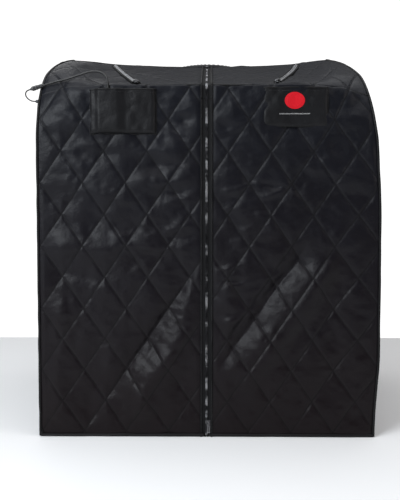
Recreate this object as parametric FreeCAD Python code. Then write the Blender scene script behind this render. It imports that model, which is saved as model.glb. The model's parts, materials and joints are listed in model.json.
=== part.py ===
import FreeCAD, Part
import math
import os

from FreeCAD import Vector as V

os.makedirs("parts", exist_ok=True)

# ---------------------------------------------------------------- driving dimensions, mm
W = 800.0            # overall width, left to right (X)
D = 700.0            # overall depth, front to rear (Y)
HW, HD = W / 2, D / 2
Z_SHOULDER = 713.0   # where the front edge of the side loop starts to round over
Z_CORNER = 813.0     # where the loop's front line and its sloping line would cross
PITCH = 21.4         # slope of the side loop's top, degrees
Y_RIDGE = 50.0       # ridge line, across the cabin
Z_RIDGE = 970.0      # ridge height on the side loops
Z_BACK_TOP = 965.0   # top of the side loops above the rear corner
R_BACK = 150.0       # rounding of the rear top corner
X_FLAT = 330.0       # inside this the front crease is sharp
Z_CREASE = 830.0     # crease between the front and the slope
Z_REAR_CREASE = 930.0
Z_RIDGE_FLAT = 965.0 # ridge height at X_FLAT
SAG = 13.0           # how far the ridge fabric hangs in the middle
T_WALL = 10.0        # outer skin + spring wire and heater + liner
T_SKIN = 3.0
T_LINER = 2.0
T_FRONT = 6.0        # padded front sheet
T_ROOF = 4.0
GAP = 0.3
PIPE_R = 3.0         # seam piping
WIRE_R = 2.0         # spring steel frame wire
NECK_Y, NECK_R, COLLAR_R = 165.0, 105.0, 118.0
ZIP_HALF = 14.0      # half width of the centre zip with its tapes
CHAIN_HALF = 3.0
POCKET_DEPTH_L = 17.0
POCKET_DEPTH_R = 7.0
LEAD_D = 4.6         # handset lead
TAIL_D = 3.0         # thin lead into the seam
AXIS_DIAG_A = (0.0, 830.0)     # x, z of the upper end of each front flap's fold line
AXIS_DIAG_B = (-392.0, 0.0)    # its lower end, on the left


def save(name, shape):
    solids = shape.Solids
    assert solids, name
    for s in solids:
        assert s.isValid(), name + " is not valid"
    out = solids[0] if len(solids) == 1 else Part.makeCompound(solids)
    out.exportStep("parts/" + name + ".step")
    b = out.BoundBox
    print("%-26s solids %2d vol %10.0f  x %.1f..%.1f y %.1f..%.1f z %.1f..%.1f" % (
        name, len(solids), out.Volume, b.XMin, b.XMax, b.YMin, b.YMax, b.ZMin, b.ZMax))
    allboxes.append((name, b))
    return out


allboxes = []


def box(x0, x1, y0, y1, z0, z1):
    return Part.makeBox(x1 - x0, y1 - y0, z1 - z0, V(x0, y0, z0))


def mirror(shape):
    return shape.mirror(V(0, 0, 0), V(1, 0, 0))


def slab_x(points, x0, x1):
    """A plate in the YZ plane, from (y, z) points, between two x."""
    pts = [V(x0, y, z) for y, z in points]
    return Part.Face(Part.makePolygon(pts + [pts[0]])).extrude(V(x1 - x0, 0, 0))


def slab_y(points, y0, y1):
    """A plate in the XZ plane, from (x, z) points, between two y."""
    pts = [V(x, y0, z) for x, z in points]
    return Part.Face(Part.makePolygon(pts + [pts[0]])).extrude(V(0, y1 - y0, 0))


# ---------------------------------------------------------------- the side loop's outline
SL = math.radians(PITCH)
TAN_LEN = Z_CORNER - Z_SHOULDER
R_FRONT = TAN_LEN / math.tan(math.radians(90 - PITCH) / 2)
FRONT_ARC = []
for i in range(7):
    a = math.radians(90 - PITCH) * i / 6
    FRONT_ARC.append((-HD + R_FRONT * (1 - math.cos(a)), Z_SHOULDER + R_FRONT * math.sin(a)))
REAR_ARC = []
for i in range(6):
    a = math.radians(90) * i / 5
    REAR_ARC.append((HD - R_BACK + R_BACK * math.sin(a), Z_BACK_TOP - R_BACK + R_BACK * math.cos(a)))

y_a, z_a = FRONT_ARC[-1]
LOOP_FRONT = FRONT_ARC + [(y_a + (Y_RIDGE - y_a) * k / 4, z_a + (Z_RIDGE - z_a) * k / 4) for k in range(1, 5)]
LOOP_REAR = [(Y_RIDGE, Z_RIDGE), ((Y_RIDGE + HD - R_BACK) / 2, (Z_RIDGE + Z_BACK_TOP) / 2 + 0.5)] + REAR_ARC


def offset(points, t):
    """The open outline moved inwards, down and away from its outer side."""
    out = []
    n = len(points)
    for i, (y, z) in enumerate(points):
        y0, z0 = points[max(0, i - 1)]
        y1, z1 = points[min(n - 1, i + 1)]
        dy, dz = y1 - y0, z1 - z0
        length = math.hypot(dy, dz)
        out.append((y + t * dz / length, z - t * dy / length))
    return out


def z_ridge(x):
    return Z_RIDGE_FLAT - SAG + SAG * (abs(x) / X_FLAT) ** 2


def z_roof(x, y):
    """Top of the roof inside |x| <= X_FLAT."""
    if y <= Y_RIDGE:
        return Z_CREASE + (y + HD) / (Y_RIDGE + HD) * (z_ridge(x) - Z_CREASE)
    return z_ridge(x) + (y - Y_RIDGE) / (HD - Y_RIDGE) * (Z_REAR_CREASE - z_ridge(x))


def front_section(x):
    """Outline of the front slope at x, as many points as the loop's."""
    n = len(LOOP_FRONT)
    flat = min(abs(x), X_FLAT)
    inner = []
    for i in range(n):
        y = -HD + (Y_RIDGE + HD) * i / (n - 1)
        inner.append((y, z_roof(flat, y)))
    if abs(x) <= X_FLAT:
        return inner
    k = (abs(x) - X_FLAT) / (HW - X_FLAT)
    return [(a[0] * (1 - k) + b[0] * k, a[1] * (1 - k) + b[1] * k) for a, b in zip(inner, LOOP_FRONT)]


def rear_section(x):
    n = len(LOOP_REAR)
    flat = min(abs(x), X_FLAT)
    inner = []
    for i in range(n):
        y = Y_RIDGE + (HD - Y_RIDGE) * i / (n - 1)
        inner.append((y, z_roof(flat, y)))
    if abs(x) <= X_FLAT:
        return inner
    k = (abs(x) - X_FLAT) / (HW - X_FLAT)
    return [(a[0] * (1 - k) + b[0] * k, a[1] * (1 - k) + b[1] * k) for a, b in zip(inner, LOOP_REAR)]


def sheet(xs, section, thick, lift=0.0, trim=(0.0, 0.0)):
    """A closed sheet of flat triangles: its upper side follows the sections, its lower side is thick below."""
    top, low = [], []
    for x in xs:
        s = section(x)
        up = offset(s, -lift)
        dn = offset(s, thick - lift)
        top.append([V(x, y, z) for y, z in up])
        low.append([V(x, y, z) for y, z in dn])
    faces = []

    def tri(a, b, c):
        faces.append(Part.Face(Part.makePolygon([a, b, c, a])))

    nx, ny = len(xs), len(top[0])
    for i in range(nx - 1):
        for j in range(ny - 1):
            for g in (top, low):
                a, b, c, d = g[i][j], g[i + 1][j], g[i + 1][j + 1], g[i][j + 1]
                tri(a, b, c)
                tri(a, c, d)
    for i in range(nx - 1):
        for j in (0, ny - 1):
            tri(top[i][j], top[i + 1][j], low[i + 1][j])
            tri(top[i][j], low[i + 1][j], low[i][j])
    for j in range(ny - 1):
        for i in (0, nx - 1):
            tri(top[i][j], top[i][j + 1], low[i][j + 1])
            tri(top[i][j], low[i][j + 1], low[i][j])
    shell = Part.Shell(faces)
    shell.sewShape()
    solid = Part.Solid(shell)
    if solid.Volume < 0:
        solid.reverse()
    return solid


# ---------------------------------------------------------------- side and rear wall sandwiches
def clip_outline(points, y0, y1, drop):
    """The side outline below the roof, between two y, closed along the floor."""
    line = offset(points, drop)
    poly = Part.makePolygon([V(0, -HD + drop, 0)] + [V(0, y, z) for y, z in line] + [V(0, HD - drop, 0), V(0, -HD + drop, 0)])
    face = Part.Face(poly)
    return face.common(Part.makeBox(2, y1 - y0, 1200, V(-1, y0, -1)))


LOOP = LOOP_FRONT + LOOP_REAR[1:]


def side_plate(y0, y1, x0, x1, drop):
    f = clip_outline(LOOP, y0, y1, drop).Faces[0]
    f.translate(V(x0, 0, 0))
    return f.extrude(V(x1 - x0, 0, 0))


def rounded_loop(points, r, wire_r):
    """A closed frame of straight wires and bends through points, each bend of radius r."""
    n = len(points)
    edges = []
    starts, ends, mids = [], [], []
    for i in range(n):
        p = V(*points[i])
        a = V(*points[i - 1]) - p
        b = V(*points[(i + 1) % n]) - p
        la, lb = a.Length, b.Length
        a.normalize()
        b.normalize()
        ang = a.getAngle(b)
        rr = r if not isinstance(r, (list, tuple)) else r[i]
        t = min(rr / math.tan(ang / 2), 0.48 * la, 0.48 * lb)
        rr = t * math.tan(ang / 2)
        s, e = p + a * t, p + b * t
        bis = a + b
        bis.normalize()
        m = p + bis * (rr / math.sin(ang / 2) - rr)
        starts.append(s)
        ends.append(e)
        mids.append(m)
    for i in range(n):
        edges.append(Part.Arc(starts[i], mids[i], ends[i]).toShape())
        nxt = (i + 1) % n
        if (starts[nxt] - ends[i]).Length > 1e-6:
            edges.append(Part.LineSegment(ends[i], starts[nxt]).toShape())
    e0 = edges[1]
    p = e0.valueAt((e0.FirstParameter + e0.LastParameter) / 2)
    # the loop is cut at the middle of one straight so that the sweep starts on a straight
    first = Part.LineSegment(p, e0.valueAt(e0.LastParameter)).toShape()
    last = Part.LineSegment(e0.valueAt(e0.FirstParameter), p).toShape()
    path = Part.Wire([first] + edges[2:] + [edges[0], last])
    half = len(path.Edges) // 2
    solids = []
    es = path.Edges
    for group in (es[:half], es[half:]):
        pw = Part.Wire(group)
        s0 = group[0]
        sp, st = s0.valueAt(s0.FirstParameter), s0.tangentAt(s0.FirstParameter)
        prof = Part.Wire([Part.makeCircle(wire_r, sp, st)])
        solids.append(pw.makePipeShell([prof], True, True))
    out = solids[0].fuse(solids[1])
    return out


Y_REAR_END = HD - T_WALL - GAP
XO, XI = -HW, -HW + T_WALL
X_WIRE = XO + T_SKIN + 2.5
SIDE = {}
for tag, y0, y1 in (("rear", 0.25, Y_REAR_END), ("front", -Y_REAR_END, -0.25)):
    outer = side_plate(y0, y1, XO, XO + T_SKIN, 10.5)
    liner = side_plate(y0, y1, XI - T_LINER, XI, 10.5)
    inset = 9.0
    line = offset(LOOP, 6.5 + inset)
    ya, yb = y0 + inset, y1 - inset

    def z_at(y, pts=line):
        for (ay, az), (by, bz) in zip(pts, pts[1:]):
            if ay <= y <= by and by > ay:
                return az + (bz - az) * (y - ay) / (by - ay)
        return pts[0][1]

    if tag == "rear":
        corners = [(X_WIRE, ya, inset), (X_WIRE, yb, inset), (X_WIRE, yb, 806.0), (X_WIRE, 292.0, 915.0),
                   (X_WIRE, 200.0, 944.0), (X_WIRE, 60.0, 951.0), (X_WIRE, ya, z_at(ya) - 3)]
        radii = [20, 20, 120, 90, 90, 120, 20]
    else:
        corners = [(X_WIRE, yb, inset), (X_WIRE, yb, z_at(yb) - 3), (X_WIRE, -250.0, z_at(-250.0) - 4),
                   (X_WIRE, ya, 726.0), (X_WIRE, ya, inset)]
        radii = [20, 20, 120, 90, 20]
    wire = rounded_loop(corners, radii, WIRE_R)
    SIDE[tag] = (outer, liner, wire)

for tag in ("rear", "front"):
    outer, liner, wire = SIDE[tag]
    for side, f in (("left", lambda s: s), ("right", mirror)):
        save("side_%s_skin_%s" % (tag, side), f(outer))
        save("side_%s_liner_%s" % (tag, side), f(liner))
        save("side_%s_wire_%s" % (tag, side), f(wire))

# far-infrared heating mats between skin and liner
SIDE_HEATER = box(XO + T_SKIN + 0.4, XI - T_LINER - 0.3, 45.0, 245.0, 120.0, 720.0)
save("side_heater_left", SIDE_HEATER)
save("side_heater_right", mirror(SIDE_HEATER))

# rear wall
XR = HW - 2 * PIPE_R - 0.2


def back_outline(x_edge, drop, z0=0.0):
    """Outline of the rear wall, drop below the roof sheet."""
    return [(-x_edge, z0), (-x_edge, Z_BACK_TOP - R_BACK - drop), (-X_FLAT, Z_REAR_CREASE - drop),
            (X_FLAT, Z_REAR_CREASE - drop), (x_edge, Z_BACK_TOP - R_BACK - drop), (x_edge, z0)]


save("rear_skin", slab_y(back_outline(XR, 8.0), HD - T_SKIN, HD))
save("rear_liner", slab_y(back_outline(XR, 8.0), HD - T_WALL, HD - T_WALL + T_LINER))
yw = HD - T_SKIN - 2.5
rear_pts = [(-XR + 9, yw, 9), (-XR + 9, yw, 800), (-X_FLAT + 4, yw, 910), (X_FLAT - 4, yw, 910), (XR - 9, yw, 800), (XR - 9, yw, 9)]
save("rear_wire", rounded_loop(rear_pts, [20, 60, 60, 60, 60, 20], WIRE_R))
save("rear_heater", box(-250, 250, HD - T_WALL + T_LINER + 0.3, HD - T_SKIN - 0.4, 150, 800))

# floor sheet
save("floor_sheet", box(-386, 386, -336, 336, 2.0, 4.0))

# ---------------------------------------------------------------- roof
XS_L = [-(HW - 2 * PIPE_R - 0.4), -365.0, -X_FLAT, -240.0, -150.0, -70.0, -ZIP_HALF - 0.4]
tilt = math.degrees(math.atan2(z_ridge(0) - Z_REAR_CREASE, HD - Y_RIDGE))
zc = z_roof(0, NECK_Y)
neck_dir = V(0, math.sin(math.radians(tilt)), math.cos(math.radians(tilt)))
hole = Part.makeCylinder(COLLAR_R + 0.6, 120, V(0, NECK_Y, zc) - neck_dir * 60, neck_dir)
slope_left = sheet(XS_L, front_section, T_ROOF)
slope_left = slope_left.cut(Part.makeBox(900, 20, 1200, V(-450, Y_RIDGE - 0.2, 0))).cut(hole)
save("slope_left", slope_left)
save("slope_right", mirror(slope_left))
xs = sorted(set([-x for x in XS_L[:-1]] + XS_L[:-1] + [0.0]))
# rear half starts just behind the ridge
full_rear = sheet(xs, rear_section, T_ROOF)
full_rear = full_rear.cut(Part.makeBox(900, 20, 1200, V(-450, Y_RIDGE - 19.8, 0)))
save("roof_rear", full_rear.cut(hole))
base = V(0, NECK_Y, zc) - neck_dir * 7
collar = Part.makeCylinder(COLLAR_R, 12, base, neck_dir).cut(Part.makeCylinder(NECK_R, 40, base - neck_dir * 10, neck_dir))
save("neck_collar", collar)

# centre zip on the slope, from the crease to the neck
s0, s1 = (-HD + 0.5, Z_CREASE), (46.0, z_roof(0, 46.0))
ang = math.atan2(s1[1] - s0[1], s1[0] - s0[0])
nrm = (math.sin(ang), -math.cos(ang))
strip = [s0, s1, (s1[0] + 3 * nrm[0], s1[1] + 3 * nrm[1]), (s0[0] + 3 * nrm[0], s0[1] + 3 * nrm[1])]
strip = [(y, z) for y, z in strip]
save("slope_zip", slab_x(strip, -ZIP_HALF, ZIP_HALF))

# arm-opening zips on the slope, splaying outwards to the rear
ARM_A = (-165.0, -338.0)
ARM_B = (-262.0, 5.0)


def arm_point(t, side=0.0, up=0.0):
    x = ARM_A[0] + (ARM_B[0] - ARM_A[0]) * t
    y = ARM_A[1] + (ARM_B[1] - ARM_A[1]) * t
    dx, dy = ARM_B[0] - ARM_A[0], ARM_B[1] - ARM_A[1]
    length = math.hypot(dx, dy)
    x += side * dy / length
    y += -side * dx / length
    return V(x, y, z_roof(x, y) + up)


def ribbon(points_fn, n, half, z0, z1):
    rows = []
    for i in range(n + 1):
        t = i / n
        rows.append([points_fn(t, -half, z0), points_fn(t, half, z0), points_fn(t, half, z1), points_fn(t, -half, z1)])
    faces = []

    def tri(a, b, c):
        faces.append(Part.Face(Part.makePolygon([a, b, c, a])))

    for r0, r1 in zip(rows, rows[1:]):
        for k in range(4):
            a, b, c, d = r0[k], r0[(k + 1) % 4], r1[(k + 1) % 4], r1[k]
            tri(a, b, c)
            tri(a, c, d)
    for r in (rows[0], rows[-1]):
        tri(r[0], r[1], r[2])
        tri(r[0], r[2], r[3])
    sh = Part.Shell(faces)
    sh.sewShape()
    s = Part.Solid(sh)
    if s.Volume < 0:
        s.reverse()
    return s


arm = ribbon(arm_point, 6, 11.0, 1.2, 3.4)
save("arm_zips", Part.makeCompound([arm, mirror(arm)]))

# ---------------------------------------------------------------- seam piping
FR = PIPE_R
front_pipe = Part.makeCylinder(FR, Z_SHOULDER - 8.0, V(-HW + FR, -HD + FR, 0), V(0, 0, 1))
save("front_piping_left", front_pipe)
save("front_piping_right", mirror(front_pipe))
xp = -HW + FR
ra = R_FRONT - FR


def at(y, z):
    return V(xp, y, z)


c_front = (-HD + R_FRONT, Z_SHOULDER)
sweep_a = math.radians(90 - PITCH)


def on_front(a, r):
    return at(c_front[0] - r * math.cos(a), c_front[1] + r * math.sin(a))


c_rear = (HD - R_BACK, Z_BACK_TOP - R_BACK)
rr_ = R_BACK - FR


def on_rear(a, r):
    return at(c_rear[0] + r * math.sin(a), c_rear[1] + r * math.cos(a))


p0 = at(-HD + FR, Z_SHOULDER - 7.0)
p1 = on_front(0, ra)
p2 = on_front(sweep_a / 2, ra)
p3 = on_front(sweep_a, ra)
ridge = at(Y_RIDGE, Z_RIDGE - FR)
u = ridge - p3
u.normalize()
q = on_rear(0, rr_)
w_ = q - ridge
w_.normalize()
tl = 40.0
r0_, r2_ = ridge - u * tl, ridge + w_ * tl
half_turn = (u.getAngle(w_)) / 2
rad = tl / math.tan(half_turn)
bis = (w_ - u)
bis.normalize()
r1_ = ridge + bis * (rad / math.cos(half_turn) - rad)
p5 = on_rear(math.radians(45), rr_)
p6 = on_rear(math.radians(90), rr_)
p7 = at(HD - FR, 1.0)
edges = [Part.LineSegment(p0, p1).toShape(), Part.Arc(p1, p2, p3).toShape(), Part.LineSegment(p3, r0_).toShape(),
         Part.Arc(r0_, r1_, r2_).toShape(), Part.LineSegment(r2_, q).toShape(), Part.Arc(q, p5, p6).toShape(),
         Part.LineSegment(p6, p7).toShape()]
path = Part.Wire(edges)
prof = Part.Wire([Part.makeCircle(FR, p0, V(0, 0, 1))])
roof_pipe = path.makePipeShell([prof], True, True)
save("roof_piping", Part.makeCompound([roof_pipe, mirror(roof_pipe)]))

# ---------------------------------------------------------------- front
y_f = -HD
ax, az = AXIS_DIAG_A
bx, bz = AXIS_DIAG_B
slope_d = (az - bz) / (ax - bx)   # dz per dx along the fold line


def diag_x(z, shift=0.0):
    return ax + (z - az) / slope_d + shift


def diag_z(x):
    return az + (x - ax) * slope_d


X_TOE = -372.0      # left of this the foot of the flap is part of the panel
X_EDGE = -(HW - 2 * PIPE_R - 0.2)
TOP = Z_CREASE - 6.0
fixed = [(X_EDGE, 0), (X_EDGE, Z_SHOULDER - 6.0), (-X_FLAT, TOP), (diag_x(TOP, -0.5), TOP), (X_TOE, diag_z(X_TOE + 0.5)), (X_TOE, 0)]
panel = slab_y(fixed, y_f, y_f + T_FRONT)
save("front_panel_left", panel)
save("front_panel_right", mirror(panel))
XZ = -ZIP_HALF
z_tip = az + slope_d * (XZ - 0.3 - 0.5)
flap = slab_y([(X_TOE + 1.0, 0), (XZ - 0.3, 0), (XZ - 0.3, z_tip), (X_TOE + 1.0, diag_z(X_TOE + 0.5))], y_f, y_f + T_FRONT)
save("front_flap_left", flap)
save("front_flap_right", mirror(flap))
z_zip = az + slope_d * (XZ - 0.5) - 8.0
tape = [(XZ, 0), (-CHAIN_HALF, 0), (-CHAIN_HALF, z_zip), (XZ, z_zip)]
chain = box(-CHAIN_HALF, -0.3, y_f, y_f + 2.8, 0, z_zip)
zip_left = slab_y(tape, y_f + 0.8, y_f + 2.8).fuse(chain)
save("zip_side_left", zip_left)
save("zip_side_right", mirror(zip_left))


# folded end of the hem binding at the left corner
save("corner_tab_left", box(-HW + 1, -HW + 8.5, y_f - 5.5, y_f - 0.3, 4.0, 20.0))


# ---------------------------------------------------------------- pockets on the front
def pocket(x0, x1, z0, z1, depth, sheet_t):
    """A patch pocket: a sheet that stands off the front and is sewn down along its sides and foot."""
    ya, yb = y_f - depth, y_f - 0.1
    body = box(x0, x1, ya, yb, z0, z1)
    return body.cut(box(x0 + 3, x1 - 3, ya + sheet_t, yb + 1, z0 + 3, z1 + 1))


PL = (-272.0, -118.0, 716.0, 818.0)
PR = (131.0, 281.0, 733.0, 822.0)
save("pocket_left", pocket(*PL, POCKET_DEPTH_L, 1.5))
save("pocket_right", pocket(*PR, POCKET_DEPTH_R, 1.5))

# ---------------------------------------------------------------- wired handset in the left pocket
HX = -229.0
hy0, hy1 = y_f - 13.2, y_f - 1.0      # front and rear of its case
case = box(HX - 22, HX + 22, hy0, hy1, 721.0, 811.0)
case = case.makeFillet(3.0, [e for e in case.Edges if abs(e.tangentAt(e.FirstParameter).y) > 0.9])
BTN = {"button_power": (HX, 765.0), "button_minus": (HX - 11.0, 745.0), "button_plus": (HX + 11.0, 745.0)}
for name, (bx_, bz_) in BTN.items():
    case = case.cut(Part.makeCylinder(5.3, 4.5, V(bx_, hy0 - 1, bz_), V(0, 1, 0)))
save("handset_case", case)
for name, (bx_, bz_) in BTN.items():
    save("handset_" + name, Part.makeCylinder(5.0, 3.2, V(bx_, hy0 - 1.0, bz_), V(0, 1, 0)))

LEAD_Y = y_f - 7.3
relief = Part.makeCone(4.6, 3.0, 22.0, V(HX, LEAD_Y, 811.05), V(0, 0, 1))
save("lead_strain_relief", relief)


def tube(points, dia, name):
    """A cord of straight runs joined by tangent arcs, each arc as large as its runs allow."""
    pts = [V(*p) for p in points]
    edges, cur = [], pts[0]
    length = 0.0
    radii = []
    for i in range(1, len(pts) - 1):
        a, b = pts[i - 1] - pts[i], pts[i + 1] - pts[i]
        la, lb = a.Length, b.Length
        a.normalize()
        b.normalize()
        turn = math.pi - a.getAngle(b)
        t = 0.45 * min(la, lb)
        r = t / math.tan(turn / 2)
        radii.append(round(r, 1))
        s, e = pts[i] + a * t, pts[i] + b * t
        bis = a + b
        bis.normalize()
        m = pts[i] + bis * (r / math.cos(turn / 2) - r)
        edges.append(Part.LineSegment(cur, s).toShape())
        edges.append(Part.Arc(s, m, e).toShape())
        length += (s - cur).Length + r * turn
        cur = e
    edges.append(Part.LineSegment(cur, pts[-1]).toShape())
    length += (pts[-1] - cur).Length
    w = Part.Wire(edges)
    t0 = pts[1] - pts[0]
    prof = Part.Wire([Part.makeCircle(dia / 2, pts[0], t0)])
    s = w.makePipeShell([prof], True, True)
    want = math.pi * dia * dia / 4 * length
    print("%s length %.1f radii %s volume ratio %.4f" % (name, length, radii, s.Volume / want))
    return s


LEAD = [(HX, LEAD_Y, 833.15), (-229.3, LEAD_Y + 0.5, 841.0), (-234.0, -353.8, 850.5), (-244.5, -348.0, 859.0),
        (-259.6, -341.0, 863.5), (-275.8, -335.5, 863.2), (-292.9, -332.0, 858.9), (-312.4, -329.0, 852.8), (-335.6, -325.5, 846.8),
        (-356.7, -320.5, 843.4), (-372.5, -318.0, 839.5), (-384.0, -318.0, 836.0)]
save("handset_lead", tube(LEAD, LEAD_D, "handset_lead"))
PLUG0 = V(-384.0, -318.0, 836.0)
PLUG_DIR = V(-23.0, 0.0, -7.0)
PLUG_DIR.normalize()
plug = Part.makeCone(3.0, 4.2, 5.0, PLUG0, PLUG_DIR).fuse(Part.makeCylinder(5.0, 13.0, PLUG0 + PLUG_DIR * 5.0, PLUG_DIR))
save("inline_plug", plug)
SOCK0 = PLUG0 + PLUG_DIR * 18.05
sock = Part.makeCylinder(5.5, 14.0, SOCK0, PLUG_DIR).fuse(Part.makeCone(4.2, 2.2, 5.0, SOCK0 + PLUG_DIR * 14.0, PLUG_DIR))
save("inline_socket", sock)
TAIL0 = SOCK0 + PLUG_DIR * 19.05
TAIL = [tuple(TAIL0), tuple(TAIL0 + PLUG_DIR * 7.0), (-430.5, -318.0, 817.5), (-430.0, -317.8, 810.0),
        (-425.0, -317.6, 803.5), (-418.5, -317.4, 799.2), (-412.5, -317.2, 797.6), (-406.6, -317.2, 797.4)]
save("seam_lead", tube(TAIL, TAIL_D, "seam_lead"))
print("seam lead starts at", tuple(TAIL0), "then", TAIL[1])
save("lead_eyelet", Part.makeCylinder(4.0, 5.5, V(-406.1, -317.2, 797.4), V(1, 0, 0)))

# ---------------------------------------------------------------- zip sliders and pull tabs
# lower slider on the right-hand zip side, closed at the hem
hem = box(0.4, 9.4, y_f - 4.4, y_f - 0.4, 24.0, 40.0)
hem = hem.fuse(box(3.4, 6.4, y_f - 7.4, y_f - 4.4, 34.0, 39.0)).cut(Part.makeCylinder(1.15, 20, V(-5, y_f - 6.0, 36.5), V(1, 0, 0)))
save("hem_slider", hem)


def pull_tab(x0, y0, z0):
    """A pull tab that hangs from a cross pin; its pin runs along X through (y0, z0)."""
    tab = box(x0 - 4.0, x0 + 4.0, y0 - 0.9, y0 + 0.9, z0 - 26.0, z0 + 1.2)
    tab = tab.cut(box(x0 - 1.9, x0 + 1.9, y0 - 5, y0 + 5, z0 - 7.5, z0 + 5))
    tab = tab.fuse(Part.makeCylinder(1.05, 7.9, V(x0 - 3.95, y0, z0), V(1, 0, 0)))
    return tab


save("hem_pull", pull_tab(4.9, y_f - 6.0, 36.5))

# upper slider at the neck end of the slope zip, with its stop
ca, sa = math.cos(ang), math.sin(ang)


def on_slope(shape, x, s):
    """Puts a piece made at the origin (length along +Y, up +Z) on the slope's centre line, s from the crease."""
    m = shape.copy()
    m.rotate(V(0, 0, 0), V(1, 0, 0), math.degrees(ang))
    m.translate(V(x, -HD + s * ca, Z_CREASE + s * sa))
    return m


def slider_flat():
    b = box(-4.5, 4.5, -8, 8, 0.5, 4.5).fuse(box(-1.5, 1.5, -1.0, 4.0, 4.5, 7.5))
    return b.cut(Part.makeCylinder(1.15, 20, V(-10, 1.5, 6.1), V(1, 0, 0)))


def tab_flat():
    t = box(-4.0, 4.0, -26.0, 2.7, 5.2, 7.0)
    t = t.cut(box(-1.9, 1.9, -6.0, 8, 0, 12))
    return t.fuse(Part.makeCylinder(1.05, 7.9, V(-3.95, 1.5, 6.1), V(1, 0, 0)))


S_NECK = (44.0 + HD) / ca - 14.0
save("neck_zip_stop", on_slope(box(-5, 5, 0, 3.5, 0.4, 3.0), 0, S_NECK + 9.5))
save("neck_slider", on_slope(slider_flat(), 0, S_NECK))
save("neck_pull", on_slope(tab_flat(), 0, S_NECK))

# arm-zip sliders at their front ends
A0, B0 = arm_point(0), arm_point(1)
AB = B0 - A0
arm_len = AB.Length
AB.normalize()
side_v = V(AB.y, -AB.x, 0)
side_v.normalize()
up_v = side_v.cross(AB)


def on_arm(shape, s):
    m = shape.copy()
    base = A0 + AB * s + up_v * 3.6
    mat = FreeCAD.Matrix(side_v.x, AB.x, up_v.x, base.x, side_v.y, AB.y, up_v.y, base.y, side_v.z, AB.z, up_v.z, base.z, 0, 0, 0, 1)
    return m.transformed(mat)


S_ARM = 14.0
arm_slider = on_arm(slider_flat(), S_ARM)
arm_pull = on_arm(tab_flat(), S_ARM)
save("arm_slider_left", arm_slider)
save("arm_slider_right", mirror(arm_slider))
save("arm_pull_left", arm_pull)
save("arm_pull_right", mirror(arm_pull))
print("arm zip length %.1f direction %s pin %s side %s" % (arm_len, tuple(AB), tuple(A0 + AB * (S_ARM + 1.5) + up_v * 9.7), tuple(side_v)))
print("slope angle %.4f deg, neck pin y %.3f z %.3f" % (math.degrees(ang), -HD + (S_NECK + 1.5) * ca - 6.1 * sa, Z_CREASE + (S_NECK + 1.5) * sa + 6.1 * ca))

# ---------------------------------------------------------------- electrics on the rear wall
save("control_box", box(-42, 42, HD - T_WALL - 36.0, HD - T_WALL - 0.3, 60, 190))
plate = box(-40, 40, HD + 0.2, HD + POCKET_DEPTH_L, 80, 170)
plate = plate.makeFillet(4.0, [e for e in plate.Edges if abs(e.tangentAt(e.FirstParameter).y) > 0.9])
plate = plate.cut(box(-14, 14, HD + 3.0, HD + 30, 90, 112))
plate = plate.cut(box(-11, 11, HD + 4.0, HD + 30, 131.2, 148.8))
save("inlet_housing", plate)
inlet = box(-13.8, 13.8, HD + 3.1, HD + 15.0, 90.2, 111.8).cut(box(-12, 12, HD + 5, HD + 16, 93, 109))
inlet = inlet.fuse(box(-8, -6, HD + 4.5, HD + 13, 99, 103)).fuse(box(6, 8, HD + 4.5, HD + 13, 99, 103)).fuse(box(-1, 1, HD + 4.5, HD + 13, 99, 103))
save("mains_inlet", inlet)
# rocker: a shallow wedge that tips about its own pin
ry, rz = HD + 12.0, 140.0
rock = slab_x([(ry - 2.0, rz - 7.4), (ry + 2.4, rz - 7.4), (ry + 1.4, rz), (ry + 0.2, rz + 7.4), (ry - 2.0, rz + 7.4)], -10.6, 10.6)
save("mains_rocker", rock)
names = [n for n, _ in allboxes]
print(len(names), "nodes")
print("diag axis from", AXIS_DIAG_A, "to", AXIS_DIAG_B)
cords = ("handset_lead", "inline_plug", "inline_socket", "seam_lead", "lead_eyelet", "lead_strain_relief")
tot = FreeCAD.BoundBox()
for n, b in allboxes:
    if n not in cords:
        tot.add(b)
print("box without the cords: x %.2f..%.2f y %.2f..%.2f z %.2f..%.2f" % (tot.XMin, tot.XMax, tot.YMin, tot.YMax, tot.ZMin, tot.ZMax))
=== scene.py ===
import bmesh
import bpy
import json
import math
import numpy as np
from mathutils import Matrix, Vector


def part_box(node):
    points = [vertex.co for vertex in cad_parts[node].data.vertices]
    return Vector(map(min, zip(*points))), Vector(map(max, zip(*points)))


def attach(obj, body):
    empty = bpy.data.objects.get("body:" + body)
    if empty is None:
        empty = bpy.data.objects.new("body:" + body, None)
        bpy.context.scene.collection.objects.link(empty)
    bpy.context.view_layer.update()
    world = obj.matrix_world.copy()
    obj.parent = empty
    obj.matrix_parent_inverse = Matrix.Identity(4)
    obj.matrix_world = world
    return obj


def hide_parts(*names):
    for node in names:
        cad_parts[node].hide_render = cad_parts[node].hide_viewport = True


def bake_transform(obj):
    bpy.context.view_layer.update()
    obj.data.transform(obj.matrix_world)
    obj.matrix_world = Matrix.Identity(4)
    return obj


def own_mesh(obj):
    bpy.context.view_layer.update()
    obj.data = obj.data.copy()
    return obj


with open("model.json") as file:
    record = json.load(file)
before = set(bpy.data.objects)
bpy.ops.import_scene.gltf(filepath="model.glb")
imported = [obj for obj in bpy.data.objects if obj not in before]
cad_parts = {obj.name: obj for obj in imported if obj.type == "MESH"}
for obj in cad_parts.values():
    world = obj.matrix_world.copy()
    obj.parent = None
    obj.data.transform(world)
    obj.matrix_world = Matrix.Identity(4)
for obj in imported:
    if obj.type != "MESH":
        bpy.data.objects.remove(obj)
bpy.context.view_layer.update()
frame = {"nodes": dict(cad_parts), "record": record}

NODES = frame["nodes"]

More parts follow.
